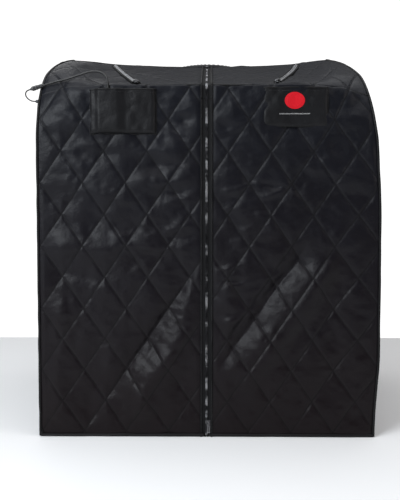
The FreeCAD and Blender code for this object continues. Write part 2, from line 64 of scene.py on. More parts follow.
# ---------------------------------------------------------------- camera
cam_data = bpy.data.cameras.new("camera")
cam = bpy.data.objects.new("camera", cam_data)
bpy.context.collection.objects.link(cam)
CAM = Vector((0.0036, -1.963, 0.5338))
YAW, DIP = -0.0118, 0.0546
fwd = Vector((math.sin(YAW) * math.cos(DIP), math.cos(YAW) * math.cos(DIP), -math.sin(DIP)))
cam.location = CAM
cam.rotation_euler = fwd.to_track_quat("-Z", "Y").to_euler()
cam_data.sensor_width = 36.0
cam_data.sensor_fit = "AUTO"
cam_data.lens = 49.46
cam_data.dof.use_dof = False
cam_data.clip_start = 0.02
bpy.context.scene.camera = cam

# ---------------------------------------------------------------- small helpers
rng = np.random.default_rng(11)
TAB = rng.random((256, 256))


def noise(u, v, seed=0):
    """Smooth noise from -1 to 1."""
    u = np.asarray(u, float) + seed * 17.31
    v = np.asarray(v, float) + seed * 9.77
    iu, iv = np.floor(u).astype(int), np.floor(v).astype(int)
    fu, fv = u - iu, v - iv
    fu, fv = fu * fu * (3 - 2 * fu), fv * fv * (3 - 2 * fv)
    g = lambda a, b: TAB[a % 256, b % 256]
    m = (g(iu, iv) * (1 - fu) + g(iu + 1, iv) * fu) * (1 - fv) + (g(iu, iv + 1) * (1 - fu) + g(iu + 1, iv + 1) * fu) * fv
    return m * 2 - 1


def smooth(a, b, x):
    t = np.clip((np.asarray(x, float) - a) / (b - a), 0, 1)
    return t * t * (3 - 2 * t)


def make(name, verts, faces, mats, mat_index=None, uv=None, flat=False):
    me = bpy.data.meshes.new(name)
    me.from_pydata([tuple(v) for v in np.asarray(verts, float).tolist()], [], [tuple(f) for f in faces])
    for m in mats:
        me.materials.append(m)
    if mat_index is not None:
        me.polygons.foreach_set("material_index", np.asarray(mat_index, np.int32))
    me.polygons.foreach_set("use_smooth", np.full(len(me.polygons), not flat))
    if uv is not None:
        layer = me.uv_layers.new(name="UVMap")
        idx = np.zeros(len(me.loops), np.int32)
        me.loops.foreach_get("vertex_index", idx)
        layer.data.foreach_set("uv", np.asarray(uv, float)[idx].ravel())
    me.update()
    o = bpy.data.objects.new(name, me)
    bpy.context.collection.objects.link(o)
    return o


def grid_normals(P):
    du = np.gradient(P, axis=1)
    dv = np.gradient(P, axis=0)
    n = np.cross(du, dv)
    ln = np.linalg.norm(n, axis=2, keepdims=True)
    return n / np.maximum(ln, 1e-12)


def lean(P):
    """The side loops lean in towards the ridge, the right one more than the left one."""
    Q = P.copy()
    x, z = P[..., 0], P[..., 2]
    up = np.clip((z - 0.70) / 0.27, 0, 1.05) ** 1.2
    side = smooth(0.2, 0.4, np.abs(x))
    # the rear wall stays upright
    keep = 1 - smooth(0.16, 0.35, P[..., 1])
    Q[..., 0] = x - np.sign(x) * side * up * keep * np.where(x > 0, 0.052, 0.012)
    # between the front corner and the ridge the spring loops bow upwards
    t = np.clip((P[..., 1] + 0.35) / 0.42, 0, 1)
    bow = np.sin(math.pi * t ** 0.72)
    Q[..., 2] = z + np.where(x > 0, 0.023, 0.027) * bow * smooth(0.24, 0.395, np.abs(x)) * smooth(0.60, 0.80, z)
    return Q


def shell(name, P, uv, thick, mats, drop=None, post=None):
    """A closed sheet from a grid of points, its outer face first; drop masks cells to leave out."""
    n, m = P.shape[:2]
    N = grid_normals(P)
    B = P - N * thick
    if post is not None:
        P, B = post(P), post(B)
    k = n * m
    verts = np.concatenate([P.reshape(-1, 3), B.reshape(-1, 3)])
    i, j = np.meshgrid(np.arange(n - 1), np.arange(m - 1), indexing="ij")
    keep = np.ones((n - 1, m - 1), bool) if drop is None else ~drop
    a = (i * m + j)[keep]
    front = np.stack([a, a + 1, a + m + 1, a + m], 1)
    back = np.stack([a + k, a + m + k, a + m + 1 + k, a + 1 + k], 1)
    K = np.zeros((n + 1, m + 1), bool)
    K[1:-1 or None, 1:-1 or None] = False
    K[1:n, 1:m] = keep
    rim = []
    ii, jj = np.nonzero(K[1:n, 1:m])
    for c, r in zip(ii, jj):
        v0 = c * m + r
        if not K[c, r + 1]:
            rim.append((v0, v0 + k, v0 + 1 + k, v0 + 1))
        if not K[c + 2, r + 1]:
            rim.append((v0 + m + 1, v0 + m + 1 + k, v0 + m + k, v0 + m))
        if not K[c + 1, r]:
            rim.append((v0 + m, v0 + m + k, v0 + k, v0))
        if not K[c + 1, r + 2]:
            rim.append((v0 + 1, v0 + 1 + k, v0 + m + 1 + k, v0 + m + 1))
    faces = front.tolist() + back.tolist() + rim
    idx = [0] * len(front) + [1] * len(back) + [0] * len(rim)
    U = np.concatenate([uv.reshape(-1, 2), uv.reshape(-1, 2)])
    used = np.zeros(2 * k, bool)
    F = np.array(faces)
    used[F.ravel()] = True
    remap = np.cumsum(used) - 1
    return make(name, verts[used], remap[F].tolist(), mats, idx, U[used])


def frames_along(P):
    P = np.asarray(P, float)
    T = np.gradient(P, axis=0)
    T /= np.linalg.norm(T, axis=1, keepdims=True)
    up = np.array([0.13, 0.21, 0.97]) if abs(T[0][2]) < 0.8 else np.array([0.97, 0.2, 0.1])
    n = up - T[0] * (up @ T[0])
    n /= np.linalg.norm(n)
    out = []
    for t in T:
        n = n - t * (n @ t)
        n /= np.linalg.norm(n)
        out.append(n.copy())
    N = np.array(out)
    return T, N, np.cross(T, N)


def tube(name, P, r, mats, sides=10, squash_n=1.0, closed=False):
    """A round tube along points; r is one radius or one for each point."""
    P = np.asarray(P, float)
    T, N, B = frames_along(P)
    r = np.broadcast_to(np.asarray(r, float), (len(P),))
    an = np.linspace(0, 2 * math.pi, sides, endpoint=False)
    V = P[:, None] + r[:, None, None] * (np.cos(an)[None, :, None] * N[:, None] * squash_n + np.sin(an)[None, :, None] * B[:, None])
    n = len(P)
    faces, uv = [], []
    last = n if closed else n - 1
    for i in range(last):
        i2 = (i + 1) % n
        for j in range(sides):
            j2 = (j + 1) % sides
            faces.append((i * sides + j, i * sides + j2, i2 * sides + j2, i2 * sides + j))
    if not closed:
        faces.append(tuple(range(sides - 1, -1, -1)))
        faces.append(tuple((n - 1) * sides + j for j in range(sides)))
    L = np.concatenate([[0], np.cumsum(np.linalg.norm(np.diff(P, axis=0), axis=1))])
    uv = np.stack([np.repeat(L, sides), np.tile(an / (2 * math.pi) * 0.01, n)], 1)
    return make(name, V.reshape(-1, 3), faces, mats, uv=uv)


def resample(P, step):
    P = np.asarray(P, float)
    S = np.concatenate([[0], np.cumsum(np.linalg.norm(np.diff(P, axis=0), axis=1))])
    s = np.linspace(0, S[-1], max(3, int(S[-1] / step)))
    return np.stack([np.interp(s, S, P[:, k]) for k in range(3)], 1)


def bevel_box(size, center, bevel, segs=2, matrix=None):
    """Vertices and faces of a box with rounded edges."""
    bm = bmesh.new()
    bmesh.ops.create_cube(bm, size=1.0)
    bmesh.ops.scale(bm, vec=Vector(size), verts=bm.verts)
    bmesh.ops.bevel(bm, geom=bm.edges[:], offset=min(bevel, min(size) * 0.49), segments=segs, profile=0.5, affect="EDGES")
    bmesh.ops.translate(bm, vec=Vector(center), verts=bm.verts)
    if matrix is not None:
        bm.transform(matrix)
    bm.verts.index_update()
    V = [tuple(v.co) for v in bm.verts]
    F = [tuple(v.index for v in f.verts) for f in bm.faces]
    bm.free()
    return V, F


def lathe(profile, center, axis, sides=28):
    """Vertices and faces of a turned piece: profile is (distance along axis, radius)."""
    ax = Vector(axis).normalized()
    q = Vector((0, 0, 1)).rotation_difference(ax)
    V, F = [], []
    for h, r in profile:
        for j in range(sides):
            a = 2 * math.pi * j / sides
            p = q @ Vector((r * math.cos(a), r * math.sin(a), h)) + Vector(center)
            V.append(tuple(p))
    n = len(profile)
    for i in range(n - 1):
        for j in range(sides):
            j2 = (j + 1) % sides
            F.append((i * sides + j, i * sides + j2, (i + 1) * sides + j2, (i + 1) * sides + j))
    F.append(tuple(range(sides - 1, -1, -1)))
    F.append(tuple((n - 1) * sides + j for j in range(sides)))
    return V, F


def torus(center, axis, R, r, n=28, m=10, stretch=(1, 1)):
    ax = Vector(axis).normalized()
    q = Vector((0, 0, 1)).rotation_difference(ax)
    V, F = [], []
    for i in range(n):
        a = 2 * math.pi * i / n
        for j in range(m):
            b = 2 * math.pi * j / m
            d = R + r * math.cos(b)
            p = Vector((d * math.cos(a) * stretch[0], d * math.sin(a) * stretch[1], r * math.sin(b)))
            V.append(tuple(q @ p + Vector(center)))
    for i in range(n):
        for j in range(m):
            i2, j2 = (i + 1) % n, (j + 1) % m
            F.append((i * m + j, i2 * m + j, i2 * m + j2, i * m + j2))
    return V, F


def join(name, parts, mats, flat=False):
    """One mesh from (vertices, faces, material number) parts."""
    V, F, M = [], [], []
    for p in parts:
        off = len(V)
        V += list(p[0])
        F += [tuple(i + off for i in f) for f in p[1]]
        M += [p[2] if len(p) > 2 else 0] * len(p[1])
    uv = np.array([(v[0] + v[1] * 0.7, v[2]) for v in V])
    o = make(name, V, F, mats, M, uv, flat=flat)
    if not flat:
        o.data.polygons.foreach_set("use_smooth", np.ones(len(o.data.polygons), bool))
    return o


def dashes(P, N, length, width, height, pitch, shift=0.0, side=0.0, lift=0.0, jitter=0.0, skew=0.0):
    """Small raised bars along a line: stitches or zip teeth. Returns vertices and faces."""
    P, N = np.asarray(P, float), np.asarray(N, float)
    seg = np.linalg.norm(np.diff(P, axis=0), axis=1)
    S = np.concatenate([[0], np.cumsum(seg)])
    s = np.arange(shift + pitch * 0.5, S[-1] - length * 0.5, pitch)
    C = np.stack([np.interp(s, S, P[:, k]) for k in range(3)], 1)
    T = np.stack([np.interp(s, S, np.gradient(P, axis=0)[:, k]) for k in range(3)], 1)
    T /= np.linalg.norm(T, axis=1, keepdims=True)
    M = np.stack([np.interp(s, S, N[:, k]) for k in range(3)], 1)
    M -= T * (M * T).sum(1, keepdims=True)
    M /= np.linalg.norm(M, axis=1, keepdims=True)
    W = np.cross(T, M)
    jit = (np.sin(np.arange(len(s)) * 12.9898) * 43758.5453) % 1.0 - 0.5
    C = C + W * side + M * lift + T * (jit[:, None] * jitter)
    V, F = [], []
    cut = 0.62
    for c, t, w, n in zip(C, T, W, M):
        o = len(V)
        t2 = t + w * skew
        for (a, b, h) in ((-1, -1, 0), (1, -1, 0), (1, 1, 0), (-1, 1, 0), (-cut, -cut, 1), (cut, -cut, 1), (cut, cut, 1), (-cut, cut, 1)):
            V.append(tuple(c + t2 * a * length / 2 + w * b * width / 2 + n * h * height))
        F += [(o, o + 3, o + 2, o + 1), (o + 4, o + 5, o + 6, o + 7), (o, o + 1, o + 5, o + 4), (o + 1, o + 2, o + 6, o + 5), (o + 2, o + 3, o + 7, o + 6), (o + 3, o, o + 4, o + 7)]
    return V, F


# ---------------------------------------------------------------- materials
def new_mat(name):
    m = bpy.data.materials.new(name)
    m.use_nodes = True
    nt = m.node_tree
    b = nt.nodes["Principled BSDF"]
    return m, nt, b


def node(nt, kind, **kw):
    n = nt.nodes.new(kind)
    for k, v in kw.items():
        if k == "inputs":
            for i, x in v.items():
                n.inputs[i].default_value = x
        else:
            setattr(n, k, v)
    return n


def math_node(nt, op, a, b=None, c=None):
    n = nt.nodes.new("ShaderNodeMath")
    n.operation = op
    for i, x in enumerate((a, b, c)):
        if x is None:
            continue
        if isinstance(x, (int, float)):
            n.inputs[i].default_value = x
        else:
            nt.links.new(x, n.inputs[i])
    return n.outputs[0]


def ramp(nt, fac, stops):
    r = nt.nodes.new("ShaderNodeValToRGB")
    e = r.color_ramp.elements
    e[0].position, e[0].color = stops[0][0], (*stops[0][1], 1)
    e[1].position, e[1].color = stops[-1][0], (*stops[-1][1], 1)
    for p, c in stops[1:-1]:
        x = e.new(p)
        x.color = (*c, 1)
    nt.links.new(fac, r.inputs[0])
    return r.outputs[0]


def noise_tex(nt, vec, scale, detail=3.0, rough=0.55):
    n = nt.nodes.new("ShaderNodeTexNoise")
    n.inputs["Scale"].default_value = scale
    n.inputs["Detail"].default_value = detail
    n.inputs["Roughness"].default_value = rough
    nt.links.new(vec, n.inputs["Vector"])
    return n.outputs["Fac"]


def bump(nt, b, height, strength, distance, prev=None):
    n = nt.nodes.new("ShaderNodeBump")
    n.inputs["Strength"].default_value = strength
    n.inputs["Distance"].default_value = distance
    nt.links.new(height, n.inputs["Height"])
    if prev is not None:
        nt.links.new(prev, n.inputs["Normal"])
    nt.links.new(n.outputs[0], b.inputs["Normal"])
    return n.outputs[0]


LAT_W, LAT_H = 0.1005, 0.1475
GRAD = math.hypot(1 / LAT_W, 1 / LAT_H)


def fabric(name, dark, light, rough, sheen, stitched, weave=2600.0, spec=0.5, painted_bottom_shade=None):
    """Woven cloth; stitched cloth has the diamond lines of the quilting, drawn from its own cloth coordinates."""
    m, nt, b = new_mat(name)
    uvn = node(nt, "ShaderNodeUVMap", uv_map="UVMap")
    tc = node(nt, "ShaderNodeTexCoord")
    obj = tc.outputs["Object"]
    uv = uvn.outputs[0]
    big = noise_tex(nt, obj, 9.0, 4.0, 0.6)
    col = ramp(nt, big, [(0.3, dark), (0.7, light)])
    # painted shade: the cloth colour is mixed towards a darker brownish tone low on the object and stays lighter
    # towards the top, standing in for the light falling from above
    if painted_bottom_shade is not None:
        sep0 = node(nt, "ShaderNodeSeparateXYZ")
        nt.links.new(obj, sep0.inputs[0])
        h = math_node(nt, "MULTIPLY_ADD", sep0.outputs[2], 1.25, -0.1)
        h = math_node(nt, "ADD", h, math_node(nt, "MULTIPLY", big, 0.15))
        hc = node(nt, "ShaderNodeMix", data_type="RGBA")
        hc.inputs[0].default_value = 1.0
        nt.links.new(math_node(nt, "MINIMUM", math_node(nt, "MAXIMUM", h, 0.0), 1.0), hc.inputs[0])
        hc.inputs[6].default_value = (*painted_bottom_shade, 1)
        nt.links.new(col, hc.inputs[7])
        col = hc.outputs[2]
    fine = noise_tex(nt, obj, 60.0, 3.0, 0.6)
    r = math_node(nt, "MULTIPLY_ADD", fine, 0.16, rough - 0.08)
    sep = node(nt, "ShaderNodeSeparateXYZ")
    nt.links.new(uv, sep.inputs[0])
    u, v = sep.outputs[0], sep.outputs[1]
    # plain weave: crossing ribs along and across the cloth
    wu = math_node(nt, "SINE", math_node(nt, "MULTIPLY", u, weave))
    wv = math_node(nt, "SINE", math_node(nt, "MULTIPLY", v, weave))
    weave_h = math_node(nt, "MULTIPLY_ADD", math_node(nt, "MULTIPLY", wu, wv), 0.5, 0.5)
    crinkle = noise_tex(nt, uv, 45.0, 5.0, 0.62)
    prev = bump(nt, b, crinkle, 0.35, 0.0045)
    prev = bump(nt, b, weave_h, 0.18, 0.0003, prev)
    if stitched:
        a = math_node(nt, "ADD", math_node(nt, "MULTIPLY", u, 1 / LAT_W), math_node(nt, "MULTIPLY", v, 1 / LAT_H))
        c = math_node(nt, "SUBTRACT", math_node(nt, "MULTIPLY", u, 1 / LAT_W), math_node(nt, "MULTIPLY", v, 1 / LAT_H))
        da = math_node(nt, "PINGPONG", a, 0.5)
        dc = math_node(nt, "PINGPONG", c, 0.5)
        d = math_node(nt, "MULTIPLY", math_node(nt, "MINIMUM", da, dc), 1 / GRAD)
        # the stitched lines are painted dark: partly black thread every 3.2 mm with a gap between stitches, and partly
        # painted shade in the groove, which darkens the gaps too
        run = math_node(nt, "GREATER_THAN", math_node(nt, "SINE", math_node(nt, "MULTIPLY", v, 2 * math.pi / 0.0028)), -0.55)
        line = node(nt, "ShaderNodeMapRange", interpolation_type="SMOOTHSTEP")
        nt.links.new(d, line.inputs[0])
        line.inputs[1].default_value = 0.0004
        line.inputs[2].default_value = 0.0016
        line.inputs[3].default_value = 1.0
        line.inputs[4].default_value = 0.0
        mask = line.outputs[0]
        pucker = node(nt, "ShaderNodeMapRange", interpolation_type="SMOOTHSTEP")
        nt.links.new(d, pucker.inputs[0])
        pucker.inputs[1].default_value = 0.0
        pucker.inputs[2].default_value = 0.006
        prev = bump(nt, b, pucker.outputs[0], 0.45, 0.0016, prev)
        # painted shade: the line mask mixes the cloth towards near-black along the stitched grooves
        mix = node(nt, "ShaderNodeMix", data_type="RGBA")
        nt.links.new(math_node(nt, "MULTIPLY", mask, math_node(nt, "MULTIPLY_ADD", run, 0.5, 0.4)), mix.inputs[0])
        nt.links.new(col, mix.inputs[6])
        mix.inputs[7].default_value = (0.0012, 0.0012, 0.0014, 1)
        col = mix.outputs[2]
        r = math_node(nt, "MULTIPLY_ADD", mask, 0.3, r)
    nt.links.new(col, b.inputs["Base Color"])
    nt.links.new(r, b.inputs["Roughness"])
    b.inputs["Sheen Weight"].default_value = sheen
    b.inputs["Sheen Roughness"].default_value = 0.45
    b.inputs["Specular IOR Level"].default_value = spec
    return m


def plastic(name, a, c, rough, grain=900.0, strength=0.12, spec=0.5, coat=0.0):
    m, nt, b = new_mat(name)
    tc = node(nt, "ShaderNodeTexCoord")
    obj = tc.outputs["Object"]
    f = noise_tex(nt, obj, 35.0, 4.0)
    nt.links.new(ramp(nt, f, [(0.3, a), (0.7, c)]), b.inputs["Base Color"])
    nt.links.new(math_node(nt, "MULTIPLY_ADD", f, 0.15, rough - 0.07), b.inputs["Roughness"])
    g = noise_tex(nt, obj, grain, 2.0)
    bump(nt, b, g, strength, 0.0004)
    b.inputs["Specular IOR Level"].default_value = spec
    b.inputs["Coat Weight"].default_value = coat
    b.inputs["Coat Roughness"].default_value = 0.15
    return m


def metal(name, a, c, rough, painted_glint=None):
    m, nt, b = new_mat(name)
    tc = node(nt, "ShaderNodeTexCoord")
    obj = tc.outputs["Object"]
    f = noise_tex(nt, obj, 60.0, 4.0)
    col = ramp(nt, f, [(0.35, a), (0.65, c)])
    # painted glints: noise-masked patches of bright silver base colour on the dark metal, standing in for the sparkle
    # of light on the teeth
    if painted_glint is not None:
        g = noise_tex(nt, obj, 26.0, 3.0, 0.7)
        mix = node(nt, "ShaderNodeMix", data_type="RGBA")
        mr = node(nt, "ShaderNodeMapRange")
        nt.links.new(g, mr.inputs[0])
        mr.inputs[1].default_value = 0.50
        mr.inputs[2].default_value = 0.60
        nt.links.new(mr.outputs[0], mix.inputs[0])
        nt.links.new(col, mix.inputs[6])
        mix.inputs[7].default_value = (*painted_glint, 1)
        col = mix.outputs[2]
    nt.links.new(col, b.inputs["Base Color"])
    nt.links.new(math_node(nt, "MULTIPLY_ADD", f, 0.2, rough - 0.1), b.inputs["Roughness"])
    b.inputs["Metallic"].default_value = 1.0
    s = noise_tex(nt, obj, 1400.0, 2.0)
    bump(nt, b, s, 0.1, 0.0002)
    return m


# the satin is painted darker and brownish towards the bottom: painted shade
SATIN = fabric("quilted_satin", (0.0030, 0.0035, 0.0060), (0.0052, 0.0060, 0.0096), 0.44, 0.015, True, spec=0.19, painted_bottom_shade=(0.0032, 0.0008, 0.0017))
LINER = fabric("liner_cloth", (0.036, 0.036, 0.039), (0.056, 0.056, 0.060), 0.5, 0.1, False)
BACK = fabric("inner_cloth", (0.045, 0.045, 0.048), (0.07, 0.07, 0.074), 0.6, 0.1, False)
NYLON = fabric("pocket_cloth", (0.0056, 0.0056, 0.0064), (0.0096, 0.0096, 0.0108), 0.45, 0.02, False, weave=3400.0, spec=0.16)
TAPE = fabric("zip_tape_cloth", (0.0042, 0.0042, 0.0046), (0.0068, 0.0068, 0.0074), 0.62, 0.01, False, weave=4200.0, spec=0.12)
PALE_TAPE = fabric("pale_zip_tape", (0.13, 0.133, 0.14), (0.22, 0.223, 0.23), 0.45, 0.05, False, weave=4200.0)
KNIT = fabric("collar_knit", (0.010, 0.010, 0.011), (0.018, 0.018, 0.020), 0.8, 0.25, False, weave=1500.0)
MAT_CLOTH = fabric("heater_cloth", (0.020, 0.019, 0.018), (0.034, 0.032, 0.030), 0.7, 0.1, False, weave=1100.0)
PIPING = fabric("piping_cloth", (0.0040, 0.0040, 0.0044), (0.0070, 0.0070, 0.0076), 0.5, 0.015, False, weave=5200.0, spec=0.2)
THREAD = fabric("stitch_thread", (0.010, 0.010, 0.011), (0.020, 0.020, 0.022), 0.5, 0.1, False, weave=9000.0)
CASE = plastic("handset_plastic", (0.014, 0.014, 0.015), (0.022, 0.022, 0.024), 0.45)
RUBBER = plastic("button_rubber", (0.045, 0.045, 0.047), (0.065, 0.065, 0.068), 0.6, 1200.0, 0.1, 0.35)
RED = plastic("rocker_red", (0.42, 0.012, 0.010), (0.50, 0.018, 0.014), 0.35, 700.0, 0.04, 0.5, 0.2)
CORD = plastic("cord_jacket", (0.006, 0.006, 0.006), (0.010, 0.010, 0.010), 0.42, 600.0, 0.08, 0.45)
CONN = plastic("connector_plastic", (0.011, 0.011, 0.012), (0.020, 0.020, 0.022), 0.3, 800.0, 0.05, 0.5, 0.3)
STEEL = metal("spring_steel", (0.30, 0.30, 0.31), (0.45, 0.45, 0.46), 0.35)
# the silver patches on the zip teeth are painted glints
TEETH = metal("zip_teeth", (0.020, 0.020, 0.022), (0.07, 0.07, 0.075), 0.34, (0.62, 0.62, 0.64))
SLIDER = metal("slider_metal", (0.10, 0.10, 0.105), (0.26, 0.26, 0.27), 0.3)
PALE_METAL = metal("pale_teeth", (0.15, 0.15, 0.16), (0.34, 0.34, 0.35), 0.36)
PATCH = fabric("badge_ground", (0.006, 0.006, 0.006), (0.009, 0.009, 0.009), 0.6, 0.03, False, weave=3000.0)
BADGE_RED = fabric("badge_red", (0.53, 0.006, 0.014), (0.70, 0.010, 0.020), 0.62, 0.02, False, weave=3800.0, spec=0.15)
BADGE_PALE = fabric("badge_thread", (0.30, 0.30, 0.30), (0.42, 0.42, 0.42), 0.6, 0.1, False, weave=3800.0)

SLOT_MAT = {"quilt_satin": SATIN, "liner_fabric": LINER, "spring_wire": STEEL, "heater_mat": MAT_CLOTH, "collar_knit": KNIT, "zip_tape": TAPE,
            "piping_black": PIPING, "pocket_nylon": NYLON, "handset_plastic": CASE, "button_rubber": RUBBER, "rocker_red": RED, "cord_jacket": CORD,
            "slider_metal": SLIDER}


def cad_uv(o):
    """Cloth coordinates in metres for a CAD node, from its largest two directions."""
    me = o.data
    co = np.zeros(len(me.vertices) * 3)
    me.vertices.foreach_get("co", co)
    co = co.reshape(-1, 3)
    span = co.max(0) - co.min(0)
    k = np.sort(np.argsort(span)[1:])
    idx = np.zeros(len(me.loops), np.int32)
    me.loops.foreach_get("vertex_index", idx)
    layer = me.uv_layers.get("UVMap") or me.uv_layers.new(name="UVMap")
    layer.data.foreach_set("uv", co[idx][:, k].ravel())


slots_of = {s["node"]: s["material_slot"] for s in frame["record"]["subparts"]}
for nm, ob in NODES.items():
    if ob.type != "MESH":
        continue
    cad_uv(ob)
    ob.data.materials.clear()
    ob.data.materials.append(SLOT_MAT[slots_of[nm]])

# ---------------------------------------------------------------- the cabin's outline, metres
Y_F, Y_R = -0.35, 0.35
RIDGE_Y = 0.05


def z_ridge(x):
    a = abs(x)
    return 0.952 + 0.013 * (a / 0.33) ** 2 if a <= 0.33 else 0.965 + 0.004 * min(1.0, (a - 0.33) / 0.07)


def front_line(x):
    """Points (y, z) of the front and slope at one x, and the arc length at the middle of the rounded crease."""
    a = abs(x)
    k = min(1.0, max(0.0, (a - 0.33) / 0.07))
    zc = 0.83 - 0.017 * k
    t = 0.006 + 0.094 * float(smooth(0.2, 0.4, a)) ** 1.5
    zr = z_ridge(x)
    d = np.array([RIDGE_Y - Y_F, zr - zc])
    d /= np.linalg.norm(d)
    A, K = np.array([Y_F, zc - t]), np.array([Y_F, zc])
    B = K + d * t
    s = np.linspace(0, 1, 25)[:, None]
    bez = (1 - s) ** 2 * A + 2 * s * (1 - s) * K + s * s * B
    pts = np.vstack([[[Y_F, 0.0]], bez, [[RIDGE_Y, zr]]])
    S = np.concatenate([[0], np.cumsum(np.linalg.norm(np.diff(pts, axis=0), axis=1))])
    return pts, S, S[13]


def rear_line(x):
    a = abs(x)
    k = float(smooth(0.3, 0.4, a))
    zc = 0.93 + 0.035 * k
    t = 0.012 + 0.138 * float(smooth(0.25, 0.4, a))
    zr = z_ridge(x)
    d = np.array([RIDGE_Y - Y_R, zr - zc])
    d /= np.linalg.norm(d)
    K = np.array([Y_R, zc])
    A, B = K + d * t, np.array([Y_R, zc - t])
    s = np.linspace(0, 1, 25)[:, None]
    bez = (1 - s) ** 2 * A + 2 * s * (1 - s) * K + s * s * B
    pts = np.vstack([[[RIDGE_Y, zr]], bez, [[Y_R, 0.0]]])
    S = np.concatenate([[0], np.cumsum(np.linalg.norm(np.diff(pts, axis=0), axis=1))])
    return pts, S, S[13]


def grid_of(line, xs, part, rows):
    """Grid of points for one part of an outline: 0 is before the middle of its rounded crease, 1 is after."""
    P = np.zeros((rows, len(xs), 3))
    SS = np.zeros((rows, len(xs)))
    for j, x in enumerate(xs):
        pts, S, mid = line(x)
        s = np.linspace(0, mid, rows) if part == 0 else np.linspace(mid, S[-1], rows)
        P[:, j, 0] = x
        P[:, j, 1] = np.interp(s, S, pts[:, 0])
        P[:, j, 2] = np.interp(s, S, pts[:, 1])
        SS[:, j] = s
    return P, SS


def lattice(u, v):
    """Distance to the nearest quilting line, in metres."""
    a = u / LAT_W + v / LAT_H
    c = u / LAT_W - v / LAT_H
    return np.minimum(np.abs(a - np.round(a)), np.abs(c - np.round(c))) / GRAD


def puff(u, v, amp, seed):
    """Relief of quilted cloth: pads between stitched lines, with puckers beside the lines and slack wrinkles."""
    wob = 0.0015 * noise(u * 22, v * 22, seed + 3)
    d = lattice(u + wob, v + wob)
    h = amp * (1 - np.exp(-(d / 0.011)))
    h += 0.0007 * noise(u * 95, v * 95, seed) * np.exp(-d / 0.010)
    h += 0.0008 * noise(u * 38, v * 30, seed + 1) * smooth(0.0, 0.02, d)
    h += 0.0016 * noise(u * 11 + v * 3, v * 8, seed + 2)
    return h


def px(x, y):
    """A point of the front, from its place in the front view."""
    return np.array([-0.0154 + (x - 200) / 425.9, (436 - y) / 423.3])


def crease(x, z, a, b, amp, wide_l, wide_r, ends=0.03):
    """A fold along a line from a to b: its two flanks can differ in width."""
    a, b = px(*a), px(*b)
    L = np.linalg.norm(b - a)
    t = (b - a) / L
    n = np.array([t[1], -t[0]])
    dx, dz = x - a[0], z - a[1]
    al = dx * t[0] + dz * t[1]
    ac = dx * n[0] + dz * n[1] + 0.004 * noise(al * 14, al * 3 + 2, 5)
    w = np.where(ac > 0, wide_r, wide_l)
    return amp * np.exp(-(ac / w) ** 2) * smooth(-ends, ends, al) * (1 - smooth(L - ends, L + ends, al))


def facet(x, z, a, b, low, wl, wr, high, wf, ends=0.035, seed=5):
    """A valley along a line from a to b, with a broad flank that rises on its right and falls away beyond it."""
    a, b = px(*a), px(*b)
    L = np.linalg.norm(b - a)
    t = (b - a) / L
    n = np.array([t[1], -t[0]])
    if n[0] < 0:
        n = -n
    dx, dz = x - a[0], z - a[1]
    al = dx * t[0] + dz * t[1]
    ac = dx * n[0] + dz * n[1] + 0.006 * noise(al * 11, al * 3 + 2, seed)
    h = np.where(ac < 0, -low * (1 - np.clip(-ac / wl, 0, 1)) ** 1.6, 0.0)
    r = np.clip(ac / wr, 0, 1)
    h = np.where((ac >= 0) & (ac < wr), -low + (low + high) * (1.35 * r - 0.35 * r ** 3), h)
    h = np.where(ac >= wr, high * (1 - smooth(0, wf, ac - wr)), h)
    return h * smooth(-ends, ends, al) * (1 - smooth(L - ends, L + ends, al))


